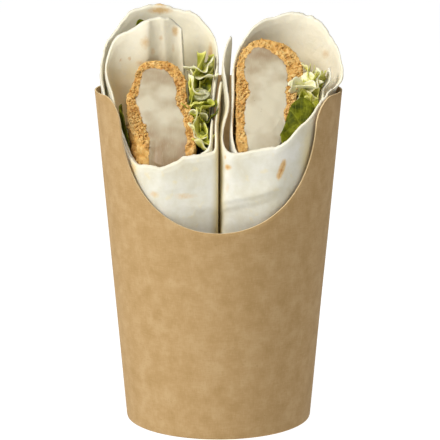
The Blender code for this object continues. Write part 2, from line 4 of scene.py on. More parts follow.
import bmesh
import bpy
import numpy as np
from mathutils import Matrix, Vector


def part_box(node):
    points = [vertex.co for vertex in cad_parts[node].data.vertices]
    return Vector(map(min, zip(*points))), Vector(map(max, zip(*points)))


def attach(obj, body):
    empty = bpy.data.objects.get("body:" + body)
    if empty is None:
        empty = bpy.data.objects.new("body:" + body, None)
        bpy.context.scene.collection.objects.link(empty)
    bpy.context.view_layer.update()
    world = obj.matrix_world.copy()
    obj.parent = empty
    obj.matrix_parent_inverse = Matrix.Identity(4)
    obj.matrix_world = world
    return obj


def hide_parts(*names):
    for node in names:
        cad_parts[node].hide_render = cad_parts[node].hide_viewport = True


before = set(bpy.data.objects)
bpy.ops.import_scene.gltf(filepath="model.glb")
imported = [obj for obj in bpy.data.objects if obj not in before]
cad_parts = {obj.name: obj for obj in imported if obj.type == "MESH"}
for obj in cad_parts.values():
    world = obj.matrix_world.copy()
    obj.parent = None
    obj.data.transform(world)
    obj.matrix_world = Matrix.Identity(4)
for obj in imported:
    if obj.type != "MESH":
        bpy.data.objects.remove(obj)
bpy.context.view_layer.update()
body = "root"
mm = 0.001
print("stage: frame loaded with", len(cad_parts), "nodes")


# Small tools

def hexColour(text):  # sRGB hex to linear RGBA: each channel by the sRGB curve
    values = [int(text[i:i + 2], 16) / 255 for i in (1, 3, 5)]
    linear = [v / 12.92 if v <= 0.04045 else ((v + 0.055) / 1.055) ** 2.4 for v in values]
    return (*linear, 1.0)


def smoothStep(value, low, high):  # 0 below low, 1 above high, 3s^2 - 2s^3 between
    share = np.clip((value - low) / (high - low), 0.0, 1.0)
    return share * share * (3.0 - 2.0 * share)


def between(low, high, share):  # straight mix of low and high
    return low + (high - low) * share


def bell(away, width, power=2):  # 1 where away is 0, low past width: exp(-(away / width)^power)
    return np.exp(-((away / width) ** power))


def offAngle(angle, at):  # degrees from at, the short way round, -180 to 180
    return np.mod(angle - at + 180.0, 360.0) - 180.0


def lobes(rows, angle, power=2):  # sum of bells round the middle, a row for each: angle, half width, size
    return sum(size * bell(offAngle(angle, at), width, power) for at, width, size in rows)


def softLeast(*values):  # power mean of order -24: the least value, rounded where two meet
    total = sum(np.asarray(value, float) ** -24.0 for value in values)
    return total ** (-1.0 / 24.0)


def cellRandom(cell, seed):  # one random share for each lattice cell, by mixing its whole numbers
    mixed = cell[..., 0] * 73856093 ^ cell[..., 1] * 19349663 ^ cell[..., 2] * 83492791 ^ seed * 40503
    mixed = ((mixed ^ (mixed >> 13)) * 1274126177) & 0xFFFFFFFF
    mixed = ((mixed ^ (mixed >> 15)) * 2246822519) & 0xFFFFFFFF
    return ((mixed ^ (mixed >> 16)) & 0xFFFF) / 65535.0


def cloud(points, size, seed, octaves=1):  # lattice noise, -1 to 1, each octave half the size and height
    total = np.zeros(points.shape[:-1])
    height, heights = 1.0, 0.0
    for octave in range(octaves):
        scaled = points / size
        cell = np.floor(scaled).astype(np.int64)
        part = scaled - cell
        part = part * part * (3.0 - 2.0 * part)
        for corner in itertools.product((0, 1), repeat=3):
            weight = np.prod(np.where(corner, part, 1.0 - part), axis=-1)
            total += height * weight * cellRandom(cell + np.array(corner), seed + octave)
        heights += height
        size, height = size / 2.0, height / 2.0
    return 2.0 * total / heights - 1.0


def lumps(points, size, seed):  # round lumps: 1 at each cell's random point, less the distance squared
    scaled = points / size
    cell = np.floor(scaled).astype(np.int64)
    nearest = np.full(points.shape[:-1], 4.0)
    for corner in itertools.product((-1, 0, 1), repeat=3):
        other = cell + np.array(corner)
        spot = np.stack([cellRandom(other, seed + axis) for axis in range(3)], axis=-1)
        nearest = np.minimum(nearest, ((other + spot - scaled) ** 2).sum(axis=-1))
    return 1.0 - np.clip(nearest, 0.0, 1.0)


def gridOf(first, second):  # two tables from (low, high, count): the first changes down, the second across
    return np.meshgrid(np.linspace(*first), np.linspace(*second), indexing="ij")


def gridQuads(index):  # a quad for each cell of a table of vertex numbers
    corners = [index[:-1, :-1], index[1:, :-1], index[1:, 1:], index[:-1, 1:]]
    return np.stack(corners, axis=-1).reshape(-1, 4)


def closedShell(front, back):  # two like grids of points, joined round their edge into one closed skin
    rows, columns = front.shape[:2]
    one = np.arange(rows * columns).reshape(rows, columns)
    two = one + rows * columns
    edge = np.concatenate([one[0, :], one[1:, -1], one[-1, -2::-1], one[-2::-1, 0]])
    side = np.stack([edge[:-1], edge[1:], edge[1:] + one.size, edge[:-1] + one.size], axis=-1)
    points = np.concatenate([front.reshape(-1, 3), back.reshape(-1, 3)])
    return points, np.concatenate([gridQuads(one), gridQuads(two)[:, ::-1], side])


def thickened(middle, thickness):  # a grid of points made a closed skin, thinner along its edge
    normal = np.cross(np.gradient(middle, axis=0), np.gradient(middle, axis=1))
    normal /= np.maximum(np.linalg.norm(normal, axis=-1, keepdims=True), 1e-12)
    half = np.full((*middle.shape[:2], 1), 0.45)
    half[1:-1, 1:-1] = 1.0
    half *= 0.5 * thickness
    return closedShell(middle + normal * half, middle - normal * half)


def cappedRings(rings):  # rings of points joined into a skin, each end closed by a fan to its ring's mean
    count, around = rings.shape[:2]
    index = np.arange(count * around).reshape(count, around)
    first, last = index[0], index[-1]
    fans = [np.stack([first, np.roll(first, -1), np.full(around, index.size)], axis=-1),
            np.stack([last, np.full(around, index.size + 1), np.roll(last, -1)], axis=-1)]
    points = np.concatenate([rings.reshape(-1, 3), rings[:1].mean(axis=1), rings[-1:].mean(axis=1)])
    return points, gridQuads(np.concatenate([index, index[:, :1]], axis=1)), np.concatenate(fans)


def joinedParts(parts):  # several (points, quads, values) as one: vertex numbers move past the parts before
    starts = np.cumsum([0] + [len(points) for points, _, _ in parts])
    quads = [part[1] + start for part, start in zip(parts, starts)]
    return [np.concatenate(rows) for rows in ([part[0] for part in parts], quads, [part[2] for part in parts])]


def signedVolume(points, faces):  # sum of the tetrahedra from the origin to each face's fan
    total = 0.0
    for third in range(2, faces.shape[1]):
        a, b, c = points[faces[:, 0]], points[faces[:, third - 1]], points[faces[:, third]]
        total += np.einsum("ij,ij->", a, np.cross(b, c)) / 6.0
    return total


def addPiece(name, points, quads, look, fields, triangles=None, stands=(), smooth=True):
    # points and faces into one mesh object, turned outwards, with its point values, material, body and slot
    loops = [quads] if triangles is None else [quads, triangles]
    if sum(signedVolume(points, part) for part in loops) < 0.0:
        loops = [part[:, ::-1] for part in loops]
    starts, place = [], 0
    for part in loops:
        starts.append(place + np.arange(len(part)) * part.shape[1])
        place += part.size
    mesh = bpy.data.meshes.new(name)
    mesh.vertices.add(len(points))
    mesh.vertices.foreach_set("co", points.astype(np.float32).ravel())
    mesh.loops.add(place)
    mesh.loops.foreach_set("vertex_index", np.concatenate([part.ravel() for part in loops]).astype(np.int32))
    mesh.polygons.add(sum(len(part) for part in loops))
    mesh.polygons.foreach_set("loop_start", np.concatenate(starts).astype(np.int32))
    mesh.update(calc_edges=True)
    mesh.validate()
    for label, values in fields.items():
        attribute = mesh.attributes.new(label, "FLOAT", "POINT")
        attribute.data.foreach_set("value", np.asarray(values, np.float32).ravel())
    mesh.materials.append(look)
    if smooth:
        mesh.shade_smooth()
    piece = bpy.data.objects.new(name, mesh)
    bpy.context.scene.collection.objects.link(piece)
    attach(piece, body)
    if stands:
        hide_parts(*stands)
    print("stage:", name, len(points), "points")


# Materials

def feed(tree, socket, source):  # a socket linked to another, or set to a value
    if isinstance(source, bpy.types.NodeSocket):
        tree.links.new(source, socket)
    else:
        socket.default_value = source


def addNode(tree, kind, links=None, **settings):  # one node with its settings, and its sockets fed
    node = tree.nodes.new(kind)
    for label, value in settings.items():
        setattr(node, label, value)
    for socket, source in (links or {}).items():
        feed(tree, node.inputs[socket], source)
    return node


def startLook(name):
    look = bpy.data.materials.new(name)
    look.use_nodes = True
    return look, look.node_tree, addNode(look.node_tree, "ShaderNodeTexCoord").outputs["Object"]


def endLook(look, **values):  # links, and numbers straight on the shader's own sockets
    for label, value in values.items():
        socket = look.node_tree.nodes["Principled BSDF"].inputs[label.replace("_", " ")]
        feed(look.node_tree, socket, value)
    return look


def noiseOf(tree, place, size, detail=2.0, roughness=0.5, stretch=None):  # features are size across
    if stretch:
        place = addNode(tree, "ShaderNodeMapping", {"Vector": place, "Scale": stretch}).outputs["Vector"]
    links = {"Vector": place, "Scale": 1.0 / size, "Detail": detail, "Roughness": roughness}
    return addNode(tree, "ShaderNodeTexNoise", links).outputs["Fac"]


def rampOf(tree, factor, tones, *stops):  # colour ramp from (place, name of the tone) stops
    node = addNode(tree, "ShaderNodeValToRGB", {"Fac": factor})
    ramp = node.color_ramp
    while len(ramp.elements) < len(stops):
        ramp.elements.new(0.5)
    for element, (place, tone) in zip(ramp.elements, stops):
        element.position = place
        element.color = hexColour(tones[tone])
    return node.outputs["Color"]


def mixOf(tree, factor, first, second):
    second = hexColour(second) if isinstance(second, str) else second
    links = {0: factor, 6: first, 7: second}
    return addNode(tree, "ShaderNodeMix", links, data_type="RGBA", clamp_factor=True).outputs[2]


def mathOf(tree, operation, first, second):
    return addNode(tree, "ShaderNodeMath", {0: first, 1: second}, operation=operation).outputs[0]


def rangeOf(tree, value, low, high, outLow=0.0, outHigh=1.0):
    links = {"Value": value, "From Min": low, "From Max": high, "To Min": outLow, "To Max": outHigh}
    return addNode(tree, "ShaderNodeMapRange", links, clamp=True).outputs["Result"]


def layered(tree, colour, tones, *layers):
    # tones laid over a colour in turn: a value, its low and high, the tone's share at each of them, the tone
    for value, low, high, least, most, tone in layers:
        colour = mixOf(tree, rangeOf(tree, value, low, high, least, most), colour, tones[tone])
    return colour


def fieldOf(tree, label):  # a point value that the mesh carries
    return addNode(tree, "ShaderNodeAttribute", attribute_name=label).outputs["Fac"]


def bumpOf(tree, height, distance, strength, below=None):
    links = {"Height": height, "Distance": distance, "Strength": strength}
    if below is not None:
        links["Normal"] = below
    return addNode(tree, "ShaderNodeBump", links).outputs["Normal"]


kraftTones = {
    "base": "#B39262", "dark": "#AA8957", "light": "#BD9E70", "fleck": "#917346", "cutEdge": "#D3BB8E",
    "mottle": 0.0060, "fibreLength": 0.0026, "fibreWidth": 0.00036, "fleckSize": 0.0009,
    "bump": 0.00003, "cloudBump": 0.00015,
}


def kraftLook():
    # Unbleached kraft paperboard, calendered: a dry matt brown with short cross-laid fibres, cloudy formation
    # and a few bark flecks. The die-cut edge shows the paler, rougher inside of the board.
    look, tree, place = startLook("kraftPaperboardCalendered")
    tones = kraftTones
    clouds = noiseOf(tree, place, tones["mottle"], 3.0, 0.6)
    flecks = noiseOf(tree, place, tones["fleckSize"], 1.0, 0.4, (0.55, 0.55, 1.0))
    ratio = tones["fibreWidth"] / tones["fibreLength"]
    fibres = mathOf(tree, "ADD", *(noiseOf(tree, place, tones["fibreWidth"], 2.0, 0.55, stretch)
                                   for stretch in ((ratio, ratio, 1.0), (1.0, 1.0, ratio))))
    colour = rampOf(tree, clouds, tones, (0.30, "dark"), (0.50, "base"), (0.72, "light"))
    colour = layered(tree, colour, tones, (fibres, 1.02, 1.35, 0.0, 0.55, "light"),
                     (fibres, 0.98, 0.68, 0.0, 0.50, "dark"), (flecks, 0.73, 0.80, 0.0, 0.30, "fleck"))
    colour = mixOf(tree, fieldOf(tree, "cutEdge"), colour, tones["cutEdge"])
    bump = bumpOf(tree, clouds, tones["cloudBump"], 0.5, bumpOf(tree, fibres, tones["bump"], 0.7))
    return endLook(look, Base_Color=colour, Normal=bump, Roughness=0.78, IOR=1.5, Specular_IOR_Level=0.3)


tortillaTones = {
    "base": "#DDD9C7", "shade": "#D3CCB3", "flour": "#E7E4D8", "inner": "#F3EAD0", "dough": "#E6D59C",
    "toastLight": "#DBB983", "toast": "#C08A4E", "toastDark": "#8E5C28",
    "cloud": 0.011, "flourSize": 0.0016, "blister": 0.0034, "gritSize": 0.0011,
    "flourBump": 0.00010, "blisterBump": 0.00045,
}


def tortillaLook():
    # Wheat-flour tortilla, pressed and griddled: soft matt cream with a floury bloom, painted lighter and warmer
    # on its inner face as painted light, doughy yellow painted as shade deep in the roll and along the seam, with
    # damp spots, low blisters, and brown marks where a blister touched the griddle, one of them a painted shadow.
    look, tree, place = startLook("wheatTortillaGriddled")
    tones = tortillaTones
    clouds = noiseOf(tree, place, tones["cloud"], 4.0, 0.6)
    blisters = noiseOf(tree, place, tones["blister"], 2.0, 0.5)
    flour = noiseOf(tree, place, tones["flourSize"], 3.0, 0.65)
    grit = rangeOf(tree, noiseOf(tree, place, tones["gritSize"], 3.0, 0.6), 0.25, 0.75, 0.72, 1.28)
    toast = mathOf(tree, "MULTIPLY", fieldOf(tree, "toast"), grit)
    colour = rampOf(tree, clouds, tones, (0.32, "shade"), (0.52, "base"), (0.70, "flour"))
    colour = layered(
        tree, colour, tones, (blisters, 0.62, 0.74, 0.0, 0.35, "dough"),
        # painted light: the inner face is made lighter and warmer than the outer face of the same sheet
        (fieldOf(tree, "inside"), 0.0, 1.0, 0.0, 0.85, "inner"),
        # doughy yellow painted shade deep inside the roll and along the seam between the halves, with damp spots
        (fieldOf(tree, "damp"), 0.0, 1.0, 0.0, 1.0, "dough"),
        (flour, 0.55, 0.72, 0.0, 0.30, "flour"), (toast, 0.12, 0.45, 0.0, 1.0, "toastLight"),
        (toast, 0.50, 0.85, 0.0, 1.0, "toast"), (toast, 0.95, 1.25, 0.0, 1.0, "toastDark"))
    bump = bumpOf(tree, blisters, tones["blisterBump"], 0.55, bumpOf(tree, flour, tones["flourBump"], 0.6))
    return endLook(look, Base_Color=colour, Normal=bump, Roughness=0.72, IOR=1.45, Specular_IOR_Level=0.32,
                   Subsurface_Weight=0.12, Subsurface_Scale=0.0016, Subsurface_Radius=(1.0, 0.85, 0.6))


chickenTones = {
    "flesh": "#AA9A7C", "fleshPink": "#957D5C", "fleshWhite": "#C3B99E", "fleshEdge": "#947048",
    "fleck": "#6E5236", "crumb": "#CF9E50", "crumbLight": "#E7C684", "crumbDark": "#AE7632",
    "crumbDeep": "#80501E", "fleshCloud": 0.009, "fleckSize": 0.0010, "fibre": 0.0004, "grain": 0.0011,
    "patch": 0.0042, "grainBump": 0.00035, "fibreBump": 0.00008,
}


def chickenLook():
    # Chicken breast strip, crumbed, deep-fried and sliced: the crust is coarse, dry and golden, painted chestnut
    # in its hollows and lighter on its lumps as painted shade and highlight, with a little oil shine; the cut
    # flesh is moist, off-white and faintly fibrous, palest in its middle, pinker at its ends and brown next to
    # the crust.
    look, tree, place = startLook("chickenCrumbedFriedSliced")
    tones = chickenTones
    clouds = mathOf(tree, "ADD", noiseOf(tree, place, tones["fleshCloud"]), fieldOf(tree, "cooked"))
    fibres = noiseOf(tree, place, tones["fibre"], 2.0, 0.5, (1.0, 0.2, 0.2))
    flecks = noiseOf(tree, place, tones["fleckSize"], 1.0, 0.4)
    grains = noiseOf(tree, place, tones["grain"], 4.0, 0.65)
    patches = noiseOf(tree, place, tones["patch"])
    relief, inFlesh = fieldOf(tree, "relief"), fieldOf(tree, "flesh")
    flesh = rampOf(tree, clouds, tones, (0.26, "fleshPink"), (0.50, "flesh"), (0.74, "fleshWhite"))
    flesh = layered(tree, flesh, tones, (fibres, 0.52, 0.75, 0.0, 0.22, "fleshWhite"),
                    (flecks, 0.775, 0.81, 0.0, 0.75, "fleck"), (inFlesh, 0.55, 1.0, 0.85, 0.0, "fleshEdge"))
    browned = mathOf(tree, "ADD", mathOf(tree, "MULTIPLY", grains, 0.45),
                     mathOf(tree, "MULTIPLY", patches, 0.55))
    crust = rampOf(tree, browned, tones, (0.20, "crumbDeep"), (0.33, "crumbDark"), (0.49, "crumb"),
                   (0.70, "crumbLight"))
    # painted shade and highlight: the crust darker where its surface is low and lighter where it is raised
    crust = layered(tree, crust, tones, (relief, 0.0, 0.45, 0.38, 0.0, "crumbDark"),
                    (relief, 0.6, 1.0, 0.0, 0.40, "crumbLight"))
    edge = mathOf(tree, "ADD", inFlesh, rangeOf(tree, grains, 0.3, 0.7, -0.16, 0.16))
    share = rangeOf(tree, edge, 0.42, 0.58)
    bumps = {0: share, 4: bumpOf(tree, grains, tones["grainBump"], 0.8),
             5: bumpOf(tree, fibres, tones["fibreBump"], 0.5)}
    normal = addNode(tree, "ShaderNodeMix", bumps, data_type="VECTOR").outputs[1]
    return endLook(look, Base_Color=mixOf(tree, share, crust, flesh), Normal=normal, IOR=1.45,
                   Roughness=rangeOf(tree, share, 0.0, 1.0, 0.62, 0.42), Specular_IOR_Level=0.38,
                   Subsurface_Weight=0.10, Subsurface_Scale=0.0015, Subsurface_Radius=(1.0, 0.55, 0.35))


lettuceTones = {
    "stem": "#ECE8C0", "lime": "#D8D46A", "green": "#93951A", "deep": "#4E560A", "dark": "#262A05",
    "vein": "#DEDC8E", "veinSize": 0.0022, "cloud": 0.0046, "bump": 0.00030,
}


def lettuceLook():
    # Torn curly lettuce: moist thin leaf, pale ribs at the base, bright lime blades and deeper green frills,
    # with a soft waxy shine and a crinkled surface.
    look, tree, place = startLook("curlyLettuceTorn")
    tones = lettuceTones
    clouds = noiseOf(tree, place, tones["cloud"], 3.0, 0.55)
    crinkle = noiseOf(tree, place, tones["veinSize"])
    # leafTone also carries painted shade and highlight: near-black in the core, darker deep in the gaps, paler on
    # curls, leaf tops and frill rims
    tone = mathOf(tree, "ADD", fieldOf(tree, "leafTone"), rangeOf(tree, clouds, 0.3, 0.7, -0.14, 0.14))
    colour = rampOf(tree, tone, tones, (0.02, "stem"), (0.28, "lime"), (0.55, "green"), (0.80, "deep"),
                    (1.0, "dark"))
    pale = mathOf(tree, "MULTIPLY", rangeOf(tree, crinkle, 0.60, 0.74, 0.0, 0.40),
                  rangeOf(tree, tone, 0.55, 0.85, 1.0, 0.0))
    return endLook(look, Base_Color=mixOf(tree, pale, colour, tones["vein"]), Roughness=0.42, IOR=1.40,
                   Normal=bumpOf(tree, crinkle, tones["bump"], 0.6), Specular_IOR_Level=0.32,
                   Subsurface_Weight=0.15, Subsurface_Scale=0.0010, Subsurface_Radius=(0.8, 1.0, 0.1),
                   Coat_Weight=0.05, Coat_Roughness=0.25)


spinachTones = {
    "blade": "#5E6208", "light": "#858918", "dark": "#3A4204", "vein": "#8B8D28",
    "cloud": 0.0040, "grain": 0.0012, "bump": 0.00025, "veinBump": -0.0002,
}


def spinachLook():
    # Baby spinach leaf, fresh: smooth dark green blade, paler veins branching from the midrib, a faint soft
    # shine, and lighter bruised patches where it was folded.
    look, tree, place = startLook("babySpinachFresh")
    tones = spinachTones
    clouds = noiseOf(tree, place, tones["cloud"], 3.0, 0.6)
    veins = fieldOf(tree, "vein")
    colour = rampOf(tree, clouds, tones, (0.34, "dark"), (0.52, "blade"), (0.70, "light"))
    colour = layered(tree, colour, tones, (veins, 0.0, 1.0, 0.0, 0.55, "vein"))
    bump = bumpOf(tree, noiseOf(tree, place, tones["grain"], 3.0, 0.6), tones["bump"], 0.6)
    return endLook(look, Base_Color=colour, Normal=bumpOf(tree, veins, tones["veinBump"], 0.7, bump),
                   Roughness=0.50, IOR=1.40, Specular_IOR_Level=0.15)


pickleTones = {"flesh": "#A3A276", "seed": "#CFCBA4", "skin": "#6B6B31", "seedSize": 0.0012, "bump": 0.00020}


def pickleLook():
    # Sliced gherkin, brined: translucent grey-green flesh, paler round its seeds, darker at the skin, wet and
    # glossy.
    look, tree, place = startLook("gherkinBrinedSliced")
    tones = pickleTones
    seeds = noiseOf(tree, place, tones["seedSize"])
    colour = rampOf(tree, seeds, tones, (0.40, "flesh"), (0.62, "seed"))
    colour = mixOf(tree, fieldOf(tree, "skin"), colour, tones["skin"])
    return endLook(look, Base_Color=colour, Normal=bumpOf(tree, seeds, tones["bump"], 0.6), Roughness=0.22,
                   IOR=1.40, Specular_IOR_Level=0.5, Subsurface_Weight=0.25, Subsurface_Scale=0.0012,
                   Subsurface_Radius=(0.8, 1.0, 0.5))


# The cup

cup = {
    "axisY": -0.00224, "height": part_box("cup_wall")[1].z, "topRadius": 0.046, "footRadius": 0.035,
    "board": 0.0006, "edgeRound": 0.00008, "foldHeight": 0.007, "foldThickness": 0.0017,
    "scoopDepth": 0.0368, "scoopHalfAngle": 51.5, "shoulder": 0.010, "shoulderAngle": 12.5,
    "seamAngle": 176.0, "seamLip": 0.00045, "seamRun": 20.0, "gap": 0.0003,
    "waviness": 0.00012, "waveSize": 0.022, "rows": 44, "scoopColumns": 72, "roundColumns": 26,
    "levelColumns": 60,
}


def cupRadius(z):  # outer radius: straight from the foot's to the rim's
    return between(cup["footRadius"], cup["topRadius"], z / cup["height"])


def rimHeight(turn):
    # by degrees from the front: half an ellipse 51.5 degrees wide and 36.8 mm deep, a quarter-round shoulder on
    # each side, then level
    low, last = cup["height"] - cup["shoulder"], cup["scoopHalfAngle"] + cup["shoulderAngle"]
    scoop = low - cup["scoopDepth"] * np.sqrt(np.clip(1.0 - (turn / cup["scoopHalfAngle"]) ** 2, 0.0, 1.0))
    past = np.clip(1.0 - ((last - turn) / cup["shoulderAngle"]) ** 2, 0.0, 1.0)
    shoulder = low + cup["shoulder"] * np.sqrt(past)
    return np.where(turn < cup["scoopHalfAngle"], scoop, np.where(turn < last, shoulder, cup["height"]))


def cupWall(look):
    # profile round the board's section (outer face up, rim, inner face down, foot fold) carried round the axis;
    # the lap is a lip at the seam that runs out over the next stretch
    scoopTurn, roundTurn = (np.radians(np.linspace(0.0, 90.0, cup[label]))
                            for label in ("scoopColumns", "roundColumns"))
    roundAngle = cup["scoopHalfAngle"] + cup["shoulderAngle"] * (1.0 - np.cos(roundTurn[1:]))
    levelAngle = np.linspace(cup["scoopHalfAngle"] + cup["shoulderAngle"], 180.0, cup["levelColumns"])[1:]
    angle = np.concatenate([cup["scoopHalfAngle"] * np.sin(scoopTurn), roundAngle, levelAngle])
    rim = rimHeight(angle)
    angle, rim = np.concatenate([angle, 360.0 - angle[-2:0:-1]]), np.concatenate([rim, rim[-2:0:-1]])
    run = (angle - cup["seamAngle"]) / cup["seamRun"]
    lift = np.where((run >= 0.0) & (run <= 1.0), cup["seamLip"] * (1.0 - run), 0.0)
    board, fold, soft, foldTop = cup["board"], cup["foldThickness"], cup["edgeRound"], cup["foldHeight"]
    share = np.linspace(0.0, 1.0, cup["rows"])[1:-1]
    # each ring: the level whose radius it takes, its offset from that, how far under the level, its cut edge
    rings = [(0.0, lift - 0.00045, 0.0, 0.0), (0.0002, lift - 0.00012, 0.0, 0.0), (0.0007, lift, 0.0, 0.0)]
    rings += [(between(0.0007, rim - soft, s), lift, 0.0, 0.0) for s in share]
    rings += [(rim, lift, soft, 0.0), (rim, lift - soft, 0.0, 1.0), (rim, soft - board, 0.0, 1.0),
              (rim, -board, soft, 0.0)]
    rings += [(between(foldTop, rim - soft, s), -board, 0.0, 0.0) for s in share[::-1]]
    rings += [(foldTop, -board, 0.0, 0.0), (foldTop, soft - fold, 0.0, 0.8), (foldTop, -fold, soft, 0.0),
              (0.0, -fold, -0.0008, 0.0), (0.0, 0.0004 - fold, 0.0, 0.0)]
    level, offset, under, edge = (np.stack([np.broadcast_to(value, angle.shape) for value in column])
                                  for column in zip(*rings))
    radius, height = cupRadius(level) + offset, level - under
    turn = np.radians(angle)
    place = np.stack([np.sin(turn) * radius, -np.cos(turn) * radius, height], axis=-1)
    wave = cloud(place * (1.0, 1.0, 0.5), cup["waveSize"], 11, 2) * smoothStep(height, 0.004, 0.03)
    radius = radius + cup["waviness"] * wave
    place = np.stack([np.sin(turn) * radius, -np.cos(turn) * radius + cup["axisY"], height], axis=-1)
    index = np.pad(np.arange(radius.size).reshape(radius.shape), ((0, 1), (0, 1)), mode="wrap")
    addPiece("cup_wall_fine", place.reshape(-1, 3), gridQuads(index), look, {"cutEdge": edge},
             stands=("cup_wall",))


# The rolled tortilla

roll = {
    "sheet": 0.0012, "pitch": 0.0016, "floor": 0.0084, "tall": 0.150, "tuckHeight": 0.016, "tuckShare": 0.45,
    "innerDrop": 0.0022, "middleGap": 0.0001, "columnStep": 1.5, "rows": 112, "puff": 0.0007,
    "puffSize": 0.013, "wrinkle": 0.0040, "torn": 0.00045, "tornFine": 0.00014, "bulge": 0.0036,
    "seamWidth": 0.0015,
}
# Angles are in degrees about the half's own middle: 0 to the other half, 90 to the back. Waves, dip and lobes:
# angle, half width, size. coat: the crust's thickness on the cut. bare: where it has none, and how far the flesh
# is sunk there. pale and pink: the flesh's paleness in the middle, and its loss to the front and to the back.
leftHalf = {
    "name": "left", "side": -1.0, "centreLow": (-0.0175, -0.006), "centreHigh": (-0.0212, -0.0085),
    "radiiLow": (0.0176, 0.029), "radiiHigh": (0.0268, 0.030), "leanOver": 0.0020, "squareBelow": 0.112,
    "cutFront": 0.0990, "cutSlope": 0.961, "rollStart": 60.0, "rollEnd": 720.0, "foldIn": 0.0150,
    "foldEnd": 168.0, "foldRise": 0.0125, "cornerRise": 0.0, "overhang": 0.0, "peelOut": 0.0006,
    "peelStart": 670.0, "edgeWaves": ((303.0, 24.0, 0.0042), (248.0, 20.0, -0.0026)),
    "dip": (236.0, 20.0, -0.0032),
    "chickenLow": (-0.0010, -0.0030), "chickenHigh": (-0.0012, -0.0134), "chickenRadii": (0.0124, 0.0218),
    "chickenLean": -0.08, "chickenTaper": 0.0,
    "chickenLobes": ((315.0, 18.0, 0.0036), (238.0, 22.0, 0.0045), (126.0, 24.0, -0.0036),
                     (26.0, 24.0, -0.0030)),
    "coat": 0.0038, "coatLobes": ((60.0, 26.0, 0.0026), (222.0, 30.0, 0.0018), (318.0, 12.0, 0.0018)),
    "bare": (276.0, 27.0, 0.0032), "pale": 0.21, "pink": (0.48, 0.40),
    "saladSpan": (-34.0, 52.0), "saladDrop": 0.004, "seed": 21,
}
rightHalf = {
    "name": "right", "side": 1.0, "centreLow": (-0.0175, -0.006), "centreHigh": (-0.0268, -0.011),
    "radiiLow": (0.0176, 0.029), "radiiHigh": (0.0236, 0.029), "leanOver": 0.0, "squareBelow": 0.120,
    "cutFront": 0.1030, "cutSlope": 0.90, "rollStart": 160.0, "rollEnd": 760.0, "foldIn": 0.0060,
    "foldEnd": 200.0, "foldRise": 0.0, "cornerRise": 0.0045, "overhang": 0.0024, "peelOut": 0.0032,
    "peelStart": 695.0, "edgeWaves": ((262.0, 38.0, 0.0024),), "dip": (312.0, 16.0, -0.0014),
    "chickenLow": (0.0015, -0.0030), "chickenHigh": (0.0084, -0.0052), "chickenRadii": (0.0124, 0.0238),
    "chickenLean": -0.125, "chickenTaper": 0.22,
    "chickenLobes": ((118.0, 22.0, -0.0048), (168.0, 20.0, -0.0022), (300.0, 20.0, 0.0030)),
    "coat": 0.0034,
    "coatLobes": ((14.0, 34.0, 0.0014), (121.0, 34.0, 0.0046), (156.0, 20.0, 0.0010), (308.0, 14.0, 0.0016)),
    "bare": (264.0, 30.0, 0.0014), "pale": 0.30, "pink": (0.12, 0.56),
    "saladSpan": (150.0, 186.0), "saladDrop": 0.005, "seed": 45,
}
cutFrontY = -0.038
fillingGap = 0.0004
fillingFloor = 0.018
crag = 0.0005


def shareOfHeight(z):  # 0 at the tucked end, 1 at the tall back edge, to the power 1.5
    return np.clip((z - roll["floor"]) / (roll["tall"] - roll["floor"]), 0.0, 1.05) ** 1.5


def centreOf(half, z):
    share = shareOfHeight(z)
    return tuple(between(half["centreLow"][i], half["centreHigh"][i], share) for i in (0, 1))


def placeAt(half, middle, angle, radius, z):  # a point by angle and radius about a middle, in the part's frame
    turn = np.radians(angle)
    x, y = middle[0] + radius * np.cos(turn), middle[1] + radius * np.sin(turn)
    return np.stack([-half["side"] * x, y + cup["axisY"], z], axis=-1)


def roomRadius(half, z):  # free radius in the cup, and a little more above its rim, where the half bulges out
    inside = cupRadius(np.minimum(z, cup["height"])) - cup["board"] - cup["gap"]
    above = smoothStep(z, cup["height"] + cup["gap"], cup["height"] + 0.005)
    return inside + (cup["board"] + cup["gap"] + half["overhang"]) * above


def outlineRadius(half, angle, z):
    # superellipse with a squarer inner-front corner, held in by the cup's circle and by the other half's plane
    turn = np.radians(angle)
    cx, cy = centreOf(half, z)
    share = shareOfHeight(z)
    wide, deep = (between(half["radiiLow"][i], half["radiiHigh"][i], share) for i in (0, 1))
    cos, sin = np.cos(turn), np.sin(turn)
    corner = np.clip(-2.0 * cos * sin, 0.0, 1.0) * (cos > 0.0)
    corner = corner * (1.0 - smoothStep(z, half["squareBelow"] - 0.012, half["squareBelow"] + 0.012))
    power = 2.1 + 2.9 * corner
    oval = (np.abs(cos / wide) ** power + np.abs(sin / deep) ** power) ** (-1.0 / power)
    along = cx * cos + cy * sin
    inCup = np.sqrt(along**2 - cx**2 - cy**2 + roomRadius(half, z) ** 2) - along
    lean = half["leanOver"] * smoothStep(z, 0.112, 0.135)
    middle = (lean - roll["middleGap"] - cx) / np.maximum(cos, 0.05)
    ripple = 0.00025 * (np.sin(5.0 * turn + 40.0 * z) - 1.0) * smoothStep(z, 0.060, 0.110)
    return softLeast(oval, inCup, middle) + ripple


def tuck(z):  # factor that draws the sheet in towards its tucked end
    share = np.clip((z - roll["floor"]) / roll["tuckHeight"], 0.0, 1.0)
    return 1.0 - roll["tuckShare"] * (1.0 - share) ** 2.2


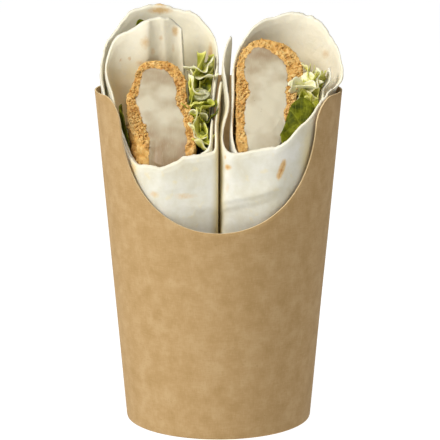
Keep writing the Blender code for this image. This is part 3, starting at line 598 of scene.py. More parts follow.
def rollRadius(half, angle, z, inward):
    # outline, less a spiral depth that grows inwards, less the inner fold, plus the loose outer end
    radius = outlineRadius(half, angle, z)
    slope = (outlineRadius(half, angle + 1.0, z) - radius) / (math.radians(1.0) * radius)
    slant = np.minimum(np.sqrt(1.0 + slope**2), 1.35)
    depth = roll["pitch"] * (half["rollEnd"] - angle) / 360.0
    fold = half["foldIn"] * (1.0 - smoothStep(angle, half["foldEnd"] - 55.0, half["foldEnd"]))
    lip = 1.0 - smoothStep(angle, half["rollStart"], half["rollStart"] + 28.0)
    fold = fold * (1.0 - 0.28 * lip) * between(0.25, 1.0, shareOfHeight(z))
    slack = 0.0013 * bell(angle - 188.0, 16.0) * smoothStep(z, 0.095, 0.120)
    peel = half["peelOut"] * smoothStep(angle, half["peelStart"], half["rollEnd"]) * smoothStep(z, 0.092, 0.125)
    return tuck(z) * (radius - fold) - (depth + inward) * slant - slack + peel


def cutHeight(half, y):  # the slanting cut: a plane rising to the back
    return half["cutFront"] + half["cutSlope"] * (y - cutFrontY)


def meetCut(half, start, steps, depthAt, rise=0.0):
    # height at which a form meets the cut, plus rise: half-steps to the cut's height over the form's own depth
    z = start
    for _ in range(steps):
        z = 0.5 * z + 0.5 * (cutHeight(half, depthAt(z)) + rise)
    return z


def edgeHeight(half, angle, inward):  # where the sheet meets the cut, with its fold's rise and its waves
    turn = np.radians(angle)
    fallen = 0.50 * smoothStep(angle, half["foldEnd"] - 46.0, half["foldEnd"] - 18.0)
    fallen = fallen + 0.50 * smoothStep(angle, half["foldEnd"] - 22.0, half["foldEnd"])
    fallen = fallen + 0.52 * (1.0 - smoothStep(angle, half["rollStart"], half["rollStart"] + 20.0))
    rise = half["foldRise"] * (1.0 - fallen) + half["cornerRise"] * bell(angle - 590.0, 38.0)
    covered = 1.0 - smoothStep(angle, half["rollEnd"] - 370.0, half["rollEnd"] - 350.0)
    rise = rise - roll["innerDrop"] * covered * smoothStep(-np.sin(turn), 0.1, 0.5)
    rise = rise + lobes((*half["edgeWaves"], half["dip"]), angle, 4)
    rise = rise + 0.0005 * np.sin(7.0 * turn + 1.0) + 0.0004 * np.sin(13.0 * turn)
    return meetCut(half, np.full(angle.shape, half["cutFront"] + 0.02), 12,
                   lambda z: centreOf(half, z)[1] + rollRadius(half, angle, z, inward) * np.sin(turn), rise)


marks = {  # griddle marks and one painted shadow: face (0 outer, 1 inner), angle, height, half length in degrees, half height, strength; heights in mm
    # heights in mm
    "left": (
        (1, 69, 146.0, 5.0, 2.2, 0.46), (1, 73, 139.5, 3.0, 2.2, 0.26), (1, 121, 142.0, 9.0, 3.0, 0.36),
        (1, 108, 138.5, 6.0, 1.8, 0.32), (1, 140, 136.0, 1.5, 0.7, 0.55), (1, 148, 135.5, 1.4, 0.6, 0.45),
        (1, 129, 134.0, 6.0, 1.4, 0.40), (1, 92, 143.5, 5.0, 1.2, 0.34), (1, 452, 152.5, 10.0, 1.4, 0.50),
        (0, 451, 155.0, 4.0, 1.0, 0.60), (0, 622, 91.2, 5.0, 1.6, 0.30), (0, 643, 90.8, 8.0, 1.4, 0.30),
        # the inner-face spot at 404 degrees is a painted shadow with a sauce stain
        (0, 602, 99.5, 4.0, 2.5, 0.34), (1, 404, 134.0, 4.0, 6.0, 0.80), (0, 470, 134.0, 7.0, 4.0, 0.85),
        (0, 495, 118.0, 9.0, 3.0, 0.65), (0, 440, 116.0, 5.0, 2.5, 0.55),
    ),
    "right": (
        (0, 631, 98.4, 1.9, 1.7, 0.80), (0, 629.7, 100.3, 2.1, 1.8, 0.88), (0, 628.4, 102.2, 1.9, 1.6, 0.78),
        (0, 661, 101.0, 2.6, 1.0, 0.72), (0, 664, 104.5, 1.4, 0.8, 0.45), (0, 660, 93.5, 2.0, 2.2, 0.26),
        (0, 676, 78.0, 1.5, 1.6, 0.45), (1, 430, 140.0, 6.0, 1.2, 0.40), (1, 488, 137.0, 7.0, 2.0, 0.30),
        (0, 460, 135.0, 8.0, 3.5, 0.80), (0, 485, 128.0, 4.0, 2.0, 0.60), (0, 425, 120.0, 6.0, 3.0, 0.70),
    ),
}
stains = {  # yellow places, painted shade and damp spots, listed as the griddle marks are
    "left": (
        (0, 602, 100.0, 5.0, 6.0, 0.8), (1, 158, 125.0, 14.0, 10.0, 0.7), (1, 190, 115.0, 22.0, 12.0, 0.9),
        (1, 135, 130.0, 26.0, 5.0, 0.5), (1, 404, 133.0, 10.0, 10.0, 0.6), (0, 694, 95.0, 8.0, 30.0, 0.8),
        (1, 112, 129.0, 30.0, 6.0, 0.75),
    ),
    "right": (
        (0, 604, 103.0, 7.0, 11.0, 0.8), (1, 477, 124.0, 18.0, 6.0, 0.4), (0, 700, 100.0, 9.0, 30.0, 0.8),
        (1, 380, 120.0, 20.0, 20.0, 0.6),
    ),
}
creases = {  # soft folds, in mm: angle, height, half length in degrees, width above the fold, rise a degree, size
    "left": ((628, 93.0, 20.0, 5.0, 0.06, 0.35), (652, 86.0, 14.0, 4.0, -0.10, 0.30)),
    "right": ((643, 91.6, 24.0, 4.2, -0.16, 0.85), (654, 87.2, 25.0, 3.4, -0.17, 0.60),
              (682, 85.0, 9.0, 6.0, 0.10, 0.70)),
}


def spotField(spots, face, angle, z):  # the strongest spot at each place, each a bell in angle and height
    total = np.zeros(z.shape)
    for spotFace, at, height, length, tall, strength in spots:
        if spotFace == face:
            spot = strength * bell(angle - at, length) * bell(z - height * mm, tall * mm)
            total = np.maximum(total, spot)
    return total


def tortilla(half, look):
    # grid of (angle along the roll, share of height) for the outer and the inner face, closed round its edge;
    # where the sheet is free of the cup it puffs in and out by noise and has soft folds, sharp below and rounded
    # above, and by the other half it is eased out until the two all but touch
    name, seed = half["name"], half["seed"]
    columns = round((half["rollEnd"] - half["rollStart"]) / roll["columnStep"]) + 1
    angle, share = gridOf((half["rollStart"], half["rollEnd"], columns), (0.0, 1.0, roll["rows"]))
    share = 1.0 - (1.0 - share) ** 1.45
    lip = np.clip((share - 0.985) / 0.015, 0.0, 1.0)
    cos, sin = np.cos(np.radians(angle)), np.sin(np.radians(angle))
    column = angle[:, :1]
    line = np.stack([column * 0.0004, 0.0 * column, 0.0 * column], axis=-1)
    torn = roll["torn"] * cloud(line, 0.0016, seed, 3)
    torn = torn + roll["tornFine"] * cloud(line + (0.0, 0.01, 0.0), 0.0005, seed + 9, 2)
    unfolded = 0.35 + 0.65 * smoothStep(column, half["foldEnd"] - 10.0, half["foldEnd"] + 10.0)
    outerTurn = smoothStep(column, 600.0, 615.0)
    faces, toast, damp = [], [], []
    for face, inward in enumerate((0.0, roll["sheet"])):
        top = edgeHeight(half, column, inward) + unfolded * torn
        z = roll["floor"] + (top - roll["floor"]) * share
        eased = between(inward, roll["sheet"] * 0.5, 0.45 * lip)
        radius = rollRadius(half, angle, z, eased)
        cx, cy = centreOf(half, z)
        rim = rimHeight(np.degrees(np.arctan2(np.abs(cx + radius * cos), -(cy + radius * sin))))
        where = np.stack([cos * 0.024, sin * 0.024, z], axis=-1)
        wide = cloud(where * (1.0, 1.0, 0.55), roll["puffSize"], seed + 1, 2)
        puff = roll["puff"] * (wide + 0.15 * cloud(where, roll["wrinkle"], seed + 5, 2))
        puff = puff * (1.0 - smoothStep(cos, 0.70, 0.92)) * unfolded
        for at, height, length, above, tilt, size in creases[name]:
            t = (z - (height + tilt * (angle - at)) * mm) / (above * mm)
            puff = puff + size * mm * bell(np.where(t > 0.0, t, 4.5 * t), 1.0) * bell(angle - at, length)
        radius = radius + puff * smoothStep(z - rim, 0.001, 0.008)
        spare = np.maximum(-0.00005 - cx - radius * cos - eased, 0.0)
        spare = roll["bulge"] * np.tanh(spare / roll["bulge"])
        meets = smoothStep(cos, 0.24, 0.50) * outerTurn
        meets = meets * smoothStep(z, 0.050, 0.072) * (1.0 - smoothStep(z, 0.110, 0.121))
        sheet = placeAt(half, (cx, cy), angle, radius, z)
        sheet[..., 0] -= half["side"] * spare * meets
        faces.append(sheet)
        toast.append(spotField(marks[name], face, angle, z))
        # painted shade: doughy yellow growing down the inner face away from the cut edge, and a yellow band on
        # the outer face along the seam where the halves meet
        deep = 0.60 * smoothStep(top - z, 0.003, 0.030) * (face == 1)
        seam = 0.85 * bell(sheet[..., 0], roll["seamWidth"]) * outerTurn * (face == 0)
        damp.append(np.maximum(np.maximum(deep, seam), spotField(stains[name], face, angle, z)))
    points, quads = closedShell(*faces)
    fields = {"toast": toast, "damp": damp, "inside": np.repeat((0.0, 1.0), share.size)}
    addPiece(f"tortilla_{name}_fine", points, quads, look, fields, stands=(f"tortilla_{name}",))


# The fillings

def innerBound(half, angle, z):  # radius of the space inside the roll about the half's centre
    first = half["rollStart"] - 14.0
    turned = first + np.mod(angle - first, 360.0)
    return rollRadius(half, np.maximum(turned, half["rollStart"]), z, roll["sheet"])


def chickenMiddle(half, z):
    share = shareOfHeight(z)
    return tuple(centre + between(low, high, share) for centre, low, high
                 in zip(centreOf(half, z), half["chickenLow"], half["chickenHigh"]))


def reach(half, angle, z):  # distance from the chicken's middle to the roll, by halving the interval
    turn = np.radians(angle)
    mx, my = chickenMiddle(half, z)
    cx, cy = centreOf(half, z)
    near = np.zeros(np.shape(turn + z))
    far = near + 0.060
    for _ in range(16):
        halfWay = 0.5 * (near + far)
        x, y = mx + halfWay * np.cos(turn) - cx, my + halfWay * np.sin(turn) - cy
        inside = np.hypot(x, y) < innerBound(half, np.degrees(np.arctan2(y, x)), z)
        near, far = np.where(inside, halfWay, near), np.where(inside, far, halfWay)
    return near


def chickenRadius(half, angle, z):
    # leaning, tapering rounded box |a|^2.7 + |b|^2.7 = 1 with two sines and lobes on it, held in by the roll
    turn = np.radians(angle)
    share = shareOfHeight(z)
    wide = between(0.0100, half["chickenRadii"][0], share)
    deep = between(0.0145, half["chickenRadii"][1], share)
    cos, sin = np.cos(turn), np.sin(turn)
    across = (cos - half["chickenLean"] * sin) / (wide * (1.0 + half["chickenTaper"] * sin))
    box = (np.abs(across) ** 2.7 + np.abs(sin / deep) ** 2.7) ** (-1.0 / 2.7)
    box = box * (1.0 + 0.020 * np.sin(3.0 * turn + 55.0 * z) + 0.018 * np.sin(7.0 * turn - 90.0 * z))
    box = box + share * lobes(half["chickenLobes"], angle)
    return softLeast(box, reach(half, angle, z) - fillingGap - crag)


def cutAxes(half):  # unit vectors: up along the cut, and out of it
    slope = math.atan(half["cutSlope"])
    return np.array([0.0, math.cos(slope), math.sin(slope)]), np.array([0.0, -math.sin(slope), math.cos(slope)])


crumb = {
    "around": 340, "lowRows": 16, "highRows": 46, "capRows": 78, "highPart": 0.018,
    "big": 0.0030, "bigHeight": 0.0010, "small": 0.0013, "smallHeight": 0.0005, "capHeight": 0.0009,
    "edge": 0.0005, "onCut": 620, "onSide": 260, "least": 0.00018, "most": 0.00062,
}


def bareOf(half, angle):  # 1 at the front, where the flesh meets the roll without a crust
    at, width, _ = half["bare"]
    return bell(offAngle(angle, at), width, 4)


def coatOf(half, angle):  # thickness of the crust on the cut: a mean with lobes, none where it is bare
    coat = half["coat"] + lobes(half["coatLobes"], angle)
    bare = smoothStep(bareOf(half, angle), 0.25, 0.75)
    return coat * (1.0 - bare) - 0.0006 * bare


def chicken(half, look):
    # rings of the strip's outline up to the cut, then rings that shrink to the middle of the cut face; the crust
    # is pushed out by round lumps of two sizes, on the side along the radius and on the face along its normal
    name, seed = half["name"], half["seed"]
    angle = np.linspace(0.0, 360.0, crumb["around"], endpoint=False)
    sin = np.sin(np.radians(angle))
    bare = bareOf(half, angle)
    top = meetCut(half, np.full(angle.shape, half["cutFront"] + 0.02), 12,
                  lambda z: chickenMiddle(half, z)[1] + chickenRadius(half, angle, z) * sin)
    top = top - half["bare"][2] * bare
    neck = top - crumb["highPart"]
    lower = np.linspace(0.0, 1.0, crumb["lowRows"], endpoint=False)[:, None]
    upper = np.linspace(0.0, 1.0, crumb["highRows"])[:, None]
    z = np.concatenate([between(fillingFloor, neck, lower), between(neck, top, upper)])
    radius = chickenRadius(half, angle[None, :], z)
    side = placeAt(half, chickenMiddle(half, z), angle, radius, z)
    big, small = lumps(side, crumb["big"], seed), lumps(side, crumb["small"], seed + 7)
    push = crumb["bigHeight"] * (big - 0.55) + crumb["smallHeight"] * (small - 0.5)
    side = placeAt(half, chickenMiddle(half, z), angle, radius + push * (1.0 - 0.85 * bare), z)
    rim = side[-1]
    share = np.linspace(0.0, 1.0, crumb["capRows"] + 1)[1:-1][:, None, None]
    cap = rim * (1.0 - share) + rim.mean(axis=0) * share
    depth = np.linalg.norm(cap - rim, axis=-1)
    onPlane = np.clip(depth / (0.0012 + 0.0055 * bare), 0.0, 1.0)
    cap[..., 2] = between(cap[..., 2], cutHeight(half, cap[..., 1] - cup["axisY"]), onPlane)
    coat = coatOf(half, angle) * (1.0 + 0.14 * cloud(rim, 0.004, seed + 3, 2))
    flesh = smoothStep(depth, coat - crumb["edge"], coat + crumb["edge"])
    rough = 0.9 * lumps(cap, crumb["small"], seed + 11) + 0.5 * cloud(cap, 0.0012, seed + 13, 2)
    swell = 0.0007 * smoothStep(share[..., 0], 0.0, 0.7) + 0.00022 * cloud(cap, 0.004, seed + 17, 2)
    lift = between(crumb["capHeight"] * (rough - 0.45), swell, flesh) * smoothStep(depth, 0.0, 0.0006)
    normal = cutAxes(half)[1]
    cap = cap + lift[..., None] * normal
    points, quads, triangles = cappedRings(np.concatenate([side, cap]))
    sideFlesh = smoothStep(bare, 0.4, 0.7) * smoothStep(z - top, -0.009, -0.006)
    bumps = 0.62 * big + 0.38 * small
    toEnd = 2.0 * (points[:, 1] - rim[:, 1].mean()) / np.ptp(rim[:, 1])
    fields = {
        "flesh": np.concatenate([sideFlesh.ravel(), flesh.ravel(), [0.0, 1.0]]),
        "relief": np.concatenate([bumps.ravel(), np.clip(rough, 0.0, 1.0).ravel(), [0.5, 0.5]]),
        "cooked": half["pale"] - np.where(toEnd < 0.0, *half["pink"]) * np.abs(toEnd),
    }
    addPiece(f"chicken_{name}_fine", points, quads, look, fields, triangles,
             stands=(f"chicken_{name}",))
    crumbs(half, side, cap, flesh, normal, look)
    return points[-1]


def crumbs(half, side, cap, flesh, normal, look):
    # loose crumbs on the crust: small balls of 20 faces, each squeezed by three random sizes and turned at
    # random, on the cut's crust ring and on the strip's upper side
    dice = np.random.default_rng(half["seed"] + 400)
    ball = bmesh.new()
    bmesh.ops.create_icosphere(ball, subdivisions=1, radius=1.0)
    shape = np.array([vertex.co[:] for vertex in ball.verts])
    faces = np.array([[vertex.index for vertex in face.verts] for face in ball.faces])
    ball.free()
    onCut = cap[flesh < 0.15]
    onCut = onCut[dice.integers(0, len(onCut), crumb["onCut"])]
    upper = side[-crumb["highRows"]:]
    out = upper - upper.mean(axis=1, keepdims=True)
    out /= np.linalg.norm(out, axis=-1, keepdims=True)
    pick = dice.integers(0, upper.shape[0] * upper.shape[1], crumb["onSide"])
    spots = np.concatenate([onCut, upper.reshape(-1, 3)[pick]])
    away = np.concatenate([np.broadcast_to(normal, onCut.shape), out.reshape(-1, 3)[pick]])
    count = len(spots)
    size = between(crumb["least"], crumb["most"], dice.random(count) ** 2.2)
    axes = np.linalg.qr(dice.normal(size=(count, 3, 3)))[0]
    axes *= np.sign(np.linalg.det(axes))[:, None, None]
    squeezed = shape[None] * dice.uniform(0.55, 1.35, (count, 1, 3))
    squeezed = squeezed * dice.uniform(0.8, 1.2, (count, len(shape), 1))
    points = np.einsum("nij,nvj->nvi", axes, squeezed) * size[:, None, None]
    points = points + (spots + away * size[:, None] * 0.35)[:, None]
    faces = faces[None] + (np.arange(count) * len(shape))[:, None, None]
    relief = np.repeat(dice.uniform(0.38, 0.95, count), len(shape))
    addPiece(f"crumbs_{half['name']}", points.reshape(-1, 3), faces.reshape(-1, 3), look,
             {"flesh": 0.0 * relief, "relief": relief, "cooked": 0.0 * relief}, smooth=False)


def beside(half, angle, across, z):  # a point in the gap: across is 0 at the crust, 1 at the roll's inner face
    near = chickenRadius(half, angle, z) + fillingGap + crag
    far = np.maximum(reach(half, angle, z) - fillingGap, near + 0.0002)
    return placeAt(half, chickenMiddle(half, z), angle, between(near, far, across), z)


def levelAt(half, angle, across, drop):  # height of the cut, less drop, beside the chicken
    return meetCut(half, np.full(np.shape(angle + across), half["cutFront"] + 0.015), 10,
                   lambda z: beside(half, angle, across, z)[..., 1] - cup["axisY"], -drop)


def onSalad(half, angle, across, drop):  # one point on the salad, by angle, place across the gap and drop
    angle, across = np.array([angle]), np.array([across])
    return beside(half, angle, across, levelAt(half, angle, across, drop))[0]


salad = {
    "coreRows": 30, "coreColumns": 46, "coreShadeTone": 0.98, "leaf": 0.00035, "leafDepth": 0.014,
    "leafColumns": 90, "leafRows": 22, "topColumns": 110, "topRows": 44, "topDepth": 0.003,
    "topDrop": 0.0030, "curl": 0.0030, "curlHeight": 0.0026, "wrinkle": 0.0014, "wrinkleHeight": 0.0005,
}


def saladTop(half):
    # crumpled leaf over the core: a cushion in line with the cut, raised in round curls with small wrinkles on
    # them, painted bright on the curls and deep green between them as painted highlight and shade
    angle, across = gridOf((*half["saladSpan"], salad["topColumns"]), (0.04, 0.96, salad["topRows"]))
    level = levelAt(half, angle, across, salad["topDrop"])
    over, under = (beside(half, angle, across, level - lower) for lower in (0.0, salad["topDepth"]))
    curls = lumps(over, salad["curl"], half["seed"] + 60)
    wrinkles = cloud(over, salad["wrinkle"], half["seed"] + 61, 2)
    over[..., 2] += salad["curlHeight"] * (curls - 0.45) + salad["wrinkleHeight"] * wrinkles
    # painted highlight and shade: lighter where the curls rise, darker in the hollows between them
    tone = 1.0 - 0.62 * curls**1.5 + 0.16 * wrinkles
    return (*closedShell(over, under), np.tile(tone.ravel(), 2))


def saladCore(half):
    # block of packed leaf in the space beside the chicken, painted near-black as the shade in the gaps between
    # the leaves
    angle, up = gridOf((*half["saladSpan"], salad["coreColumns"]), (0.0, 1.0, salad["coreRows"]))
    grids = []
    for across in (0.06, 0.94):
        top = levelAt(half, angle, across, half["saladDrop"])
        grids.append(beside(half, angle, across, between(fillingFloor, top, up)))
    return (*closedShell(*grids), np.full(2 * angle.size, salad["coreShadeTone"]))


def frillyLeaf(half, span, across, waves, drop, seed):
    # leaf on edge in the gap: path along the gap, swayed across it by a sine that grows to the frilled upper
    # edge, with a faster second sine that grows with the cube of the height
    along, up = gridOf((0.0, 1.0, salad["leafColumns"]), (0.0, 1.0, salad["leafRows"]))
    angle = between(span[0], span[1], along)
    wave = 2.0 * math.pi * waves * along
    sway = 0.30 * (0.35 + 0.65 * up) * np.sin(wave + across * 9.0) + 0.08 * up**3 * np.sin(2.3 * wave + seed)
    track = np.clip(across + sway, 0.04, 0.96)
    raised = 0.0012 * np.sin(1.7 * wave + 2.0) + 0.0004 * up**2 * np.sin(3.1 * wave + seed * 1.3)
    top = levelAt(half, angle, track, drop - raised)
    middle = beside(half, angle, track, between(top - salad["leafDepth"], top, up))
    # painted shade: darker towards the leaf's foot deep in the gap, lighter at its top edge, with a little random
    # change
    tone = 0.95 - 0.55 * up - 0.15 * smoothStep(up, 0.9, 1.0) + 0.15 * cloud(middle, 0.005, seed, 2)
    return (*thickened(middle, salad["leaf"]), np.tile(tone.ravel(), 2))


def frill(centre, out, side, size, seed, tone):
    # torn frill of curly leaf: a fan of radius size whose edge waves out of its plane,
    # P = r (cos t out + sin t side) + (a r^2 sin(k t) + b r^4 sin(2.4 k t) + c r^3) normal, its rim scalloped
    dice = np.random.default_rng(seed)
    turn, r = gridOf((-1.35, 1.35, 46), (0.12, 1.0, 14))
    waves, start = dice.uniform(1.9, 3.1), dice.uniform(0.0, 6.0)
    ripple = 0.27 * r**2 * np.sin(waves * turn + start) + 0.11 * r**4 * np.sin(2.4 * waves * turn + start)
    ripple = size * (ripple + dice.uniform(0.15, 0.60) * r**3)
    length = size * r * (1.0 + 0.14 * r * np.sin(waves * 1.7 * turn + 2.0 * start))
    parts = ((length * np.cos(turn), out), (length * np.sin(turn), side), (ripple, np.cross(out, side)))
    middle = centre + sum(amount[..., None] * axis for amount, axis in parts)
    # painted shade and highlight: darker at the frill's middle where it sits in the salad, paler at its rim
    values = tone + 0.34 * (1.0 - r) - 0.10 * smoothStep(r, 0.80, 1.0) + 0.14 * cloud(middle, 0.003, seed, 2)
    return (*thickened(middle, salad["leaf"]), np.tile(values.ravel(), 2))


leaves = {  # leaves on edge: span of angle, place across the gap, waves, drop under the cut
    "left": (((-32.0, 22.0), 0.55, 2.0, 0.0005), ((-20.0, 40.0), 0.25, 2.2, 0.0000),
             ((0.0, 50.0), 0.72, 2.4, 0.0004), ((24.0, 56.0), 0.35, 0.9, -0.0040)),
    "right": (((148.0, 184.0), 0.42, 1.6, -0.0010), ((152.0, 186.0), 0.66, 1.8, 0.0006),
              ((148.0, 182.0), 0.22, 1.4, 0.0000)),
}
frills = {  # torn frills, in mm: angle, place across the gap, drop, size, tone
    "left": (
        (-33.0, 0.50, 3.4, 4.2, 0.15), (-26.0, 0.66, 3.2, 5.0, 0.38), (-19.0, 0.40, 2.8, 5.0, 0.10),
        (-9.0, 0.62, 2.6, 6.2, 0.24), (-2.0, 0.25, 3.0, 4.2, 0.14), (6.0, 0.70, 4.6, 5.0, 0.70),
        (12.0, 0.34, 2.6, 6.6, 0.42), (21.0, 0.78, 4.0, 5.2, 0.72), (27.0, 0.20, 3.2, 4.8, 0.58),
        (38.0, 0.36, 2.8, 5.6, 0.10), (44.0, 0.66, 2.0, 6.0, 0.00), (52.0, 0.45, 1.8, 5.6, 0.05),
    ),
    "right": (
        (151.0, 0.45, 1.8, 5.4, 0.22), (156.0, 0.55, 2.4, 4.6, 0.36), (160.0, 0.20, 1.6, 5.8, -0.08),
        (167.0, 0.30, 1.4, 6.2, -0.12), (174.0, 0.20, 1.8, 5.6, -0.10), (180.0, 0.40, 3.4, 4.4, 0.22),
    ),
}


def lettuce(half, look):
    # a core and its crumpled top, leaves on edge, and frills that lean out of the cut at random turns
    name, seed = half["name"], half["seed"]
    parts = [saladCore(half), saladTop(half)]
    parts += [frillyLeaf(half, *row, seed + 3 * number) for number, row in enumerate(leaves[name])]
    dice = np.random.default_rng(seed + 100)
    upCut, faceOut = cutAxes(half)
    for number, (angle, across, drop, size, tone) in enumerate(frills[name]):
        centre = onSalad(half, angle, across, drop * mm)
        spin = dice.uniform(0.0, 2.0 * math.pi)
        lean = dice.uniform(0.75, 1.30)
        flat = math.cos(spin) * np.array([1.0, 0.0, 0.0]) + math.sin(spin) * upCut
        out = math.cos(lean) * faceOut + math.sin(lean) * flat
        parts.append(frill(centre, out, np.cross(faceOut, flat), size * mm, seed + 200 + number, tone))
    points, quads, tone = joinedParts(parts)
    addPiece(f"lettuce_{name}_fine", points, quads, look, {"leafTone": tone},
             stands=(f"lettuce_{name}",))


pickle = {
    "place": (24.0, 0.60, 0.0006), "radius": 0.0032, "thickness": 0.0022, "lean": 36.0, "around": 56,
    "reach": (0.02, 0.3, 0.6, 0.85, 0.96, 1.0, 1.0, 0.96, 0.85, 0.6, 0.3, 0.02),
    "level": (0.42, 0.44, 0.42, 0.48, 0.42, 0.25, -0.25, -0.42, -0.48, -0.5, -0.5, -0.5),
}


def pickleSlice(half, look):
    # round slice on the salad: rings from the middle of one face over a rounded edge to the middle of the other,
    # its outline swelling by a sine, tipped back about X
    turn = np.linspace(0.0, 2.0 * math.pi, pickle["around"], endpoint=False)[None, :]
    share = np.array(pickle["reach"])[:, None]
    radius = pickle["radius"] * share * (1.0 + 0.05 * np.sin(3.0 * turn + 1.0))
    high = pickle["thickness"] * np.array(pickle["level"])[:, None] + 0.0 * turn
    x, y = radius * np.cos(turn), radius * np.sin(turn)
    cos, sin = math.cos(math.radians(pickle["lean"])), math.sin(math.radians(pickle["lean"]))
    rings = onSalad(half, *pickle["place"]) + np.stack([x, y * cos - high * sin, y * sin + high * cos], axis=-1)
    points, quads, triangles = cappedRings(rings)
    skin = np.concatenate([(smoothStep(share, 0.8, 1.0) + 0.0 * turn).ravel(), [0.0, 0.0]])
    addPiece("pickle_slice", points, quads, look, {"skin": skin}, triangles[:, ::-1])


leafShape = {"thickness": 0.00045, "columns": 64, "rows": 70, "veins": 7.0, "sway": 0.12, "over": 0.0028}


def veinOf(along, up, count):  # midrib at along 0.5 and side veins slanting away from it, as a share of 0 to 1
    off = np.abs(along - 0.5)
    phase = np.mod(count * (up - 0.9 * off), 1.0)
    branch = bell(phase - 0.5, 0.07) * smoothStep(off, 0.01, 0.05) * (1.0 - smoothStep(off, 0.36, 0.48))
    return np.clip(bell(off, 0.018) + 0.7 * branch, 0.0, 1.0)


def addLeaf(node, middle, vein, look):
    points, quads = thickened(middle, leafShape["thickness"])
    addPiece(f"{node}_fine", points, quads, look, {"vein": np.tile(vein.ravel(), 2)}, stands=(node,))


def leafGrid():
    return gridOf((0.0, 1.0, leafShape["columns"]), (0.0, 1.0, leafShape["rows"]))


def standingLeaf(half, span, across, height, drop, look):
    # blade on edge between the chicken and the roll, swayed by two sines, its top edge a parabola
    along, up = leafGrid()
    angle = between(span[0], span[1], along)
    track = across + leafShape["sway"] * np.sin(2.0 * math.pi * along) + 0.10 * np.sin(14.0 * along + 5.0 * up)
    track = np.clip(track, 0.05, 0.95)
    top = levelAt(half, angle, track, drop + 0.0035 * (2.0 * along - 1.0) ** 2)
    middle = beside(half, angle, track, between(top - height, top, up))
    addLeaf("spinach_left", middle, veinOf(along, up, leafShape["veins"]), look)


def lyingLeaf(half, stem, blade, height, drop, chickenCentre, look):
    # lower part upright against the roll, then a quarter bend, then the blade lying in line with the cut, its
    # tip drawn a little over the crust
    along, up = leafGrid()
    standing = np.clip(up / 0.6, 0.0, 1.0)
    lying = np.clip((up - 0.6) / 0.4, 0.0, 1.0)
    spread = smoothStep(up, 0.2, 0.6)
    angle = between(between(stem[0], blade[0], spread), between(stem[1], blade[1], spread), along)
    track = between(0.82, 0.10 + 0.38 * (2.0 * along - 1.0) ** 4, lying)
    crown = 0.0008 * np.sin(math.pi * lying) + 0.0004 * lying * np.sin(11.0 * along + 4.0 * lying)
    top = levelAt(half, angle, track, drop - crown)
    middle = beside(half, angle, track, top - height * (1.0 - standing))
    toward = chickenCentre - middle
    toward /= np.linalg.norm(toward, axis=-1, keepdims=True)
    tipShare = smoothStep(lying, 0.30, 1.0)
    middle = middle + toward * (leafShape["over"] * tipShare)[..., None]
    middle[..., 2] += 0.0022 * tipShare - 0.0008 * smoothStep(lying, 0.8, 1.0)
    addLeaf("spinach_right", middle, veinOf(along, lying, leafShape["veins"] * 0.6), look)


def pocketLeaf(half, span, across, height, drop, look):
    # small blade upright in the pocket between the fold and the next turn
    along, up = leafGrid()
    angle = between(span[0], span[1], along)
    share = across + leafShape["sway"] * np.sin(2.0 * math.pi * along)

    def radiusAt(z):
        near = rollRadius(half, angle, z, 0.0) + fillingGap
        return between(near, rollRadius(half, angle + 360.0, z, roll["sheet"]) - fillingGap, share)

    top = meetCut(half, np.full(angle.shape, roll["tall"]), 10,
                  lambda z: centreOf(half, z)[1] + radiusAt(z) * np.sin(np.radians(angle)), -drop)
    z = top - height * (1.0 - up)
    middle = placeAt(half, centreOf(half, z), angle, radiusAt(z), z)
    addLeaf("spinach_fold", middle, veinOf(along, up, leafShape["veins"]), look)


kraft, bread, meat, green, leafGreen = kraftLook(), tortillaLook(), chickenLook(), lettuceLook(), spinachLook()

cupWall(kraft)
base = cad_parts["cup_base"]
base.data.materials.clear()
base.data.materials.append(kraft)
tortilla(leftHalf, bread)
tortilla(rightHalf, bread)
chicken(leftHalf, meat)
rightCentre = chicken(rightHalf, meat)
lettuce(leftHalf, green)
lettuce(rightHalf, green)
pickleSlice(leftHalf, pickleLook())
standingLeaf(leftHalf, (150.0, 208.0), 0.50, 0.026, 0.002, leafGreen)
lyingLeaf(rightHalf, (204.0, 240.0), (190.0, 254.0), 0.040, 0.0010, rightCentre, leafGreen)
pocketLeaf(leftHalf, (108.0, 130.0), 0.55, 0.024, -0.0030, leafGreen)


# Floor, light and camera

stage = {
    "floorHalf": 3.0, "floorGlow": 0.975, "floorDark": "#767676", "floorLight": "#7C7C7C", "world": 0.04,
    "keyPower": 20.5, "keySize": 0.8, "keyPlace": (-0.98, -0.72, 0.98),
    "topPower": 11.0, "topSize": 1.0, "topPlace": (0.08, -0.30, 1.42), "aim": (0.0, 0.0, 0.085),
    "lens": 157.5, "sensor": 36.0,
    "cameraDistance": 0.7123, "cameraHeight": 0.2097, "cameraDown": 10.684, "cameraAside": 0.00058,
}


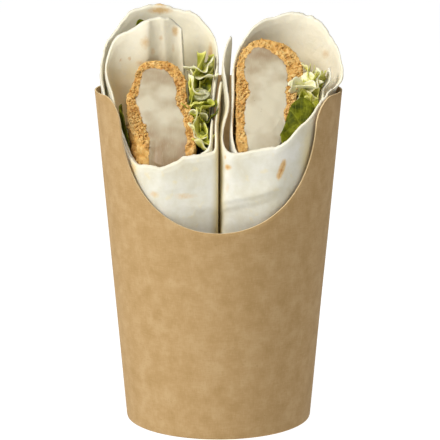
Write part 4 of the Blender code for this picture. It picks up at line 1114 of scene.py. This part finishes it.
def floorLook():
    # Opal acrylic light table, matt and as plain as a studio's: lit softly from below, with a trace of grain.
    look, tree, place = startLook("opalAcrylicTable")
    grain = rampOf(tree, noiseOf(tree, place, 0.004), stage, (0.0, "floorDark"), (1.0, "floorLight"))
    return endLook(look, Base_Color=grain, Roughness=0.9, Specular_IOR_Level=0.1,
                   Emission_Color=(1.0, 1.0, 1.0, 1.0), Emission_Strength=stage["floorGlow"])


def studio():
    half = stage["floorHalf"]
    corners = [(-half, -half, 0.0), (half, -half, 0.0), (half, half, 0.0), (-half, half, 0.0)]
    mesh = bpy.data.meshes.new("floor")
    mesh.from_pydata(corners, [], [(0, 1, 2, 3)])
    mesh.materials.append(floorLook())
    floor = bpy.data.objects.new("floor", mesh)
    bpy.context.scene.collection.objects.link(floor)
    world = bpy.context.scene.world or bpy.data.worlds.new("softRoom")
    bpy.context.scene.world = world
    world.use_nodes = True
    background = world.node_tree.nodes["Background"]
    background.inputs["Color"].default_value = (1.0, 1.0, 1.0, 1.0)
    background.inputs["Strength"].default_value = stage["world"]
    for name in ("key", "top"):
        lamp = bpy.data.lights.new(name, "AREA")
        lamp.energy = stage[name + "Power"]
        lamp.size = stage[name + "Size"]
        item = bpy.data.objects.new(name, lamp)
        item.location = stage[name + "Place"]
        toAim = Vector(stage["aim"]) - Vector(stage[name + "Place"])
        item.rotation_mode = "QUATERNION"
        item.rotation_quaternion = toAim.to_track_quat("-Z", "Y")
        bpy.context.scene.collection.objects.link(item)
    lens = bpy.data.cameras.new("camera")
    lens.lens = stage["lens"]
    lens.sensor_width = stage["sensor"]
    camera = bpy.data.objects.new("camera", lens)
    camera.location = (stage["cameraAside"], cup["axisY"] - stage["cameraDistance"], stage["cameraHeight"])
    camera.rotation_euler = (math.radians(90.0 - stage["cameraDown"]), 0.0, 0.0)
    bpy.context.scene.collection.objects.link(camera)
    bpy.context.scene.camera = camera
    bpy.context.scene.view_settings.view_transform = "Standard"
    print("stage: floor, light and camera")


studio()
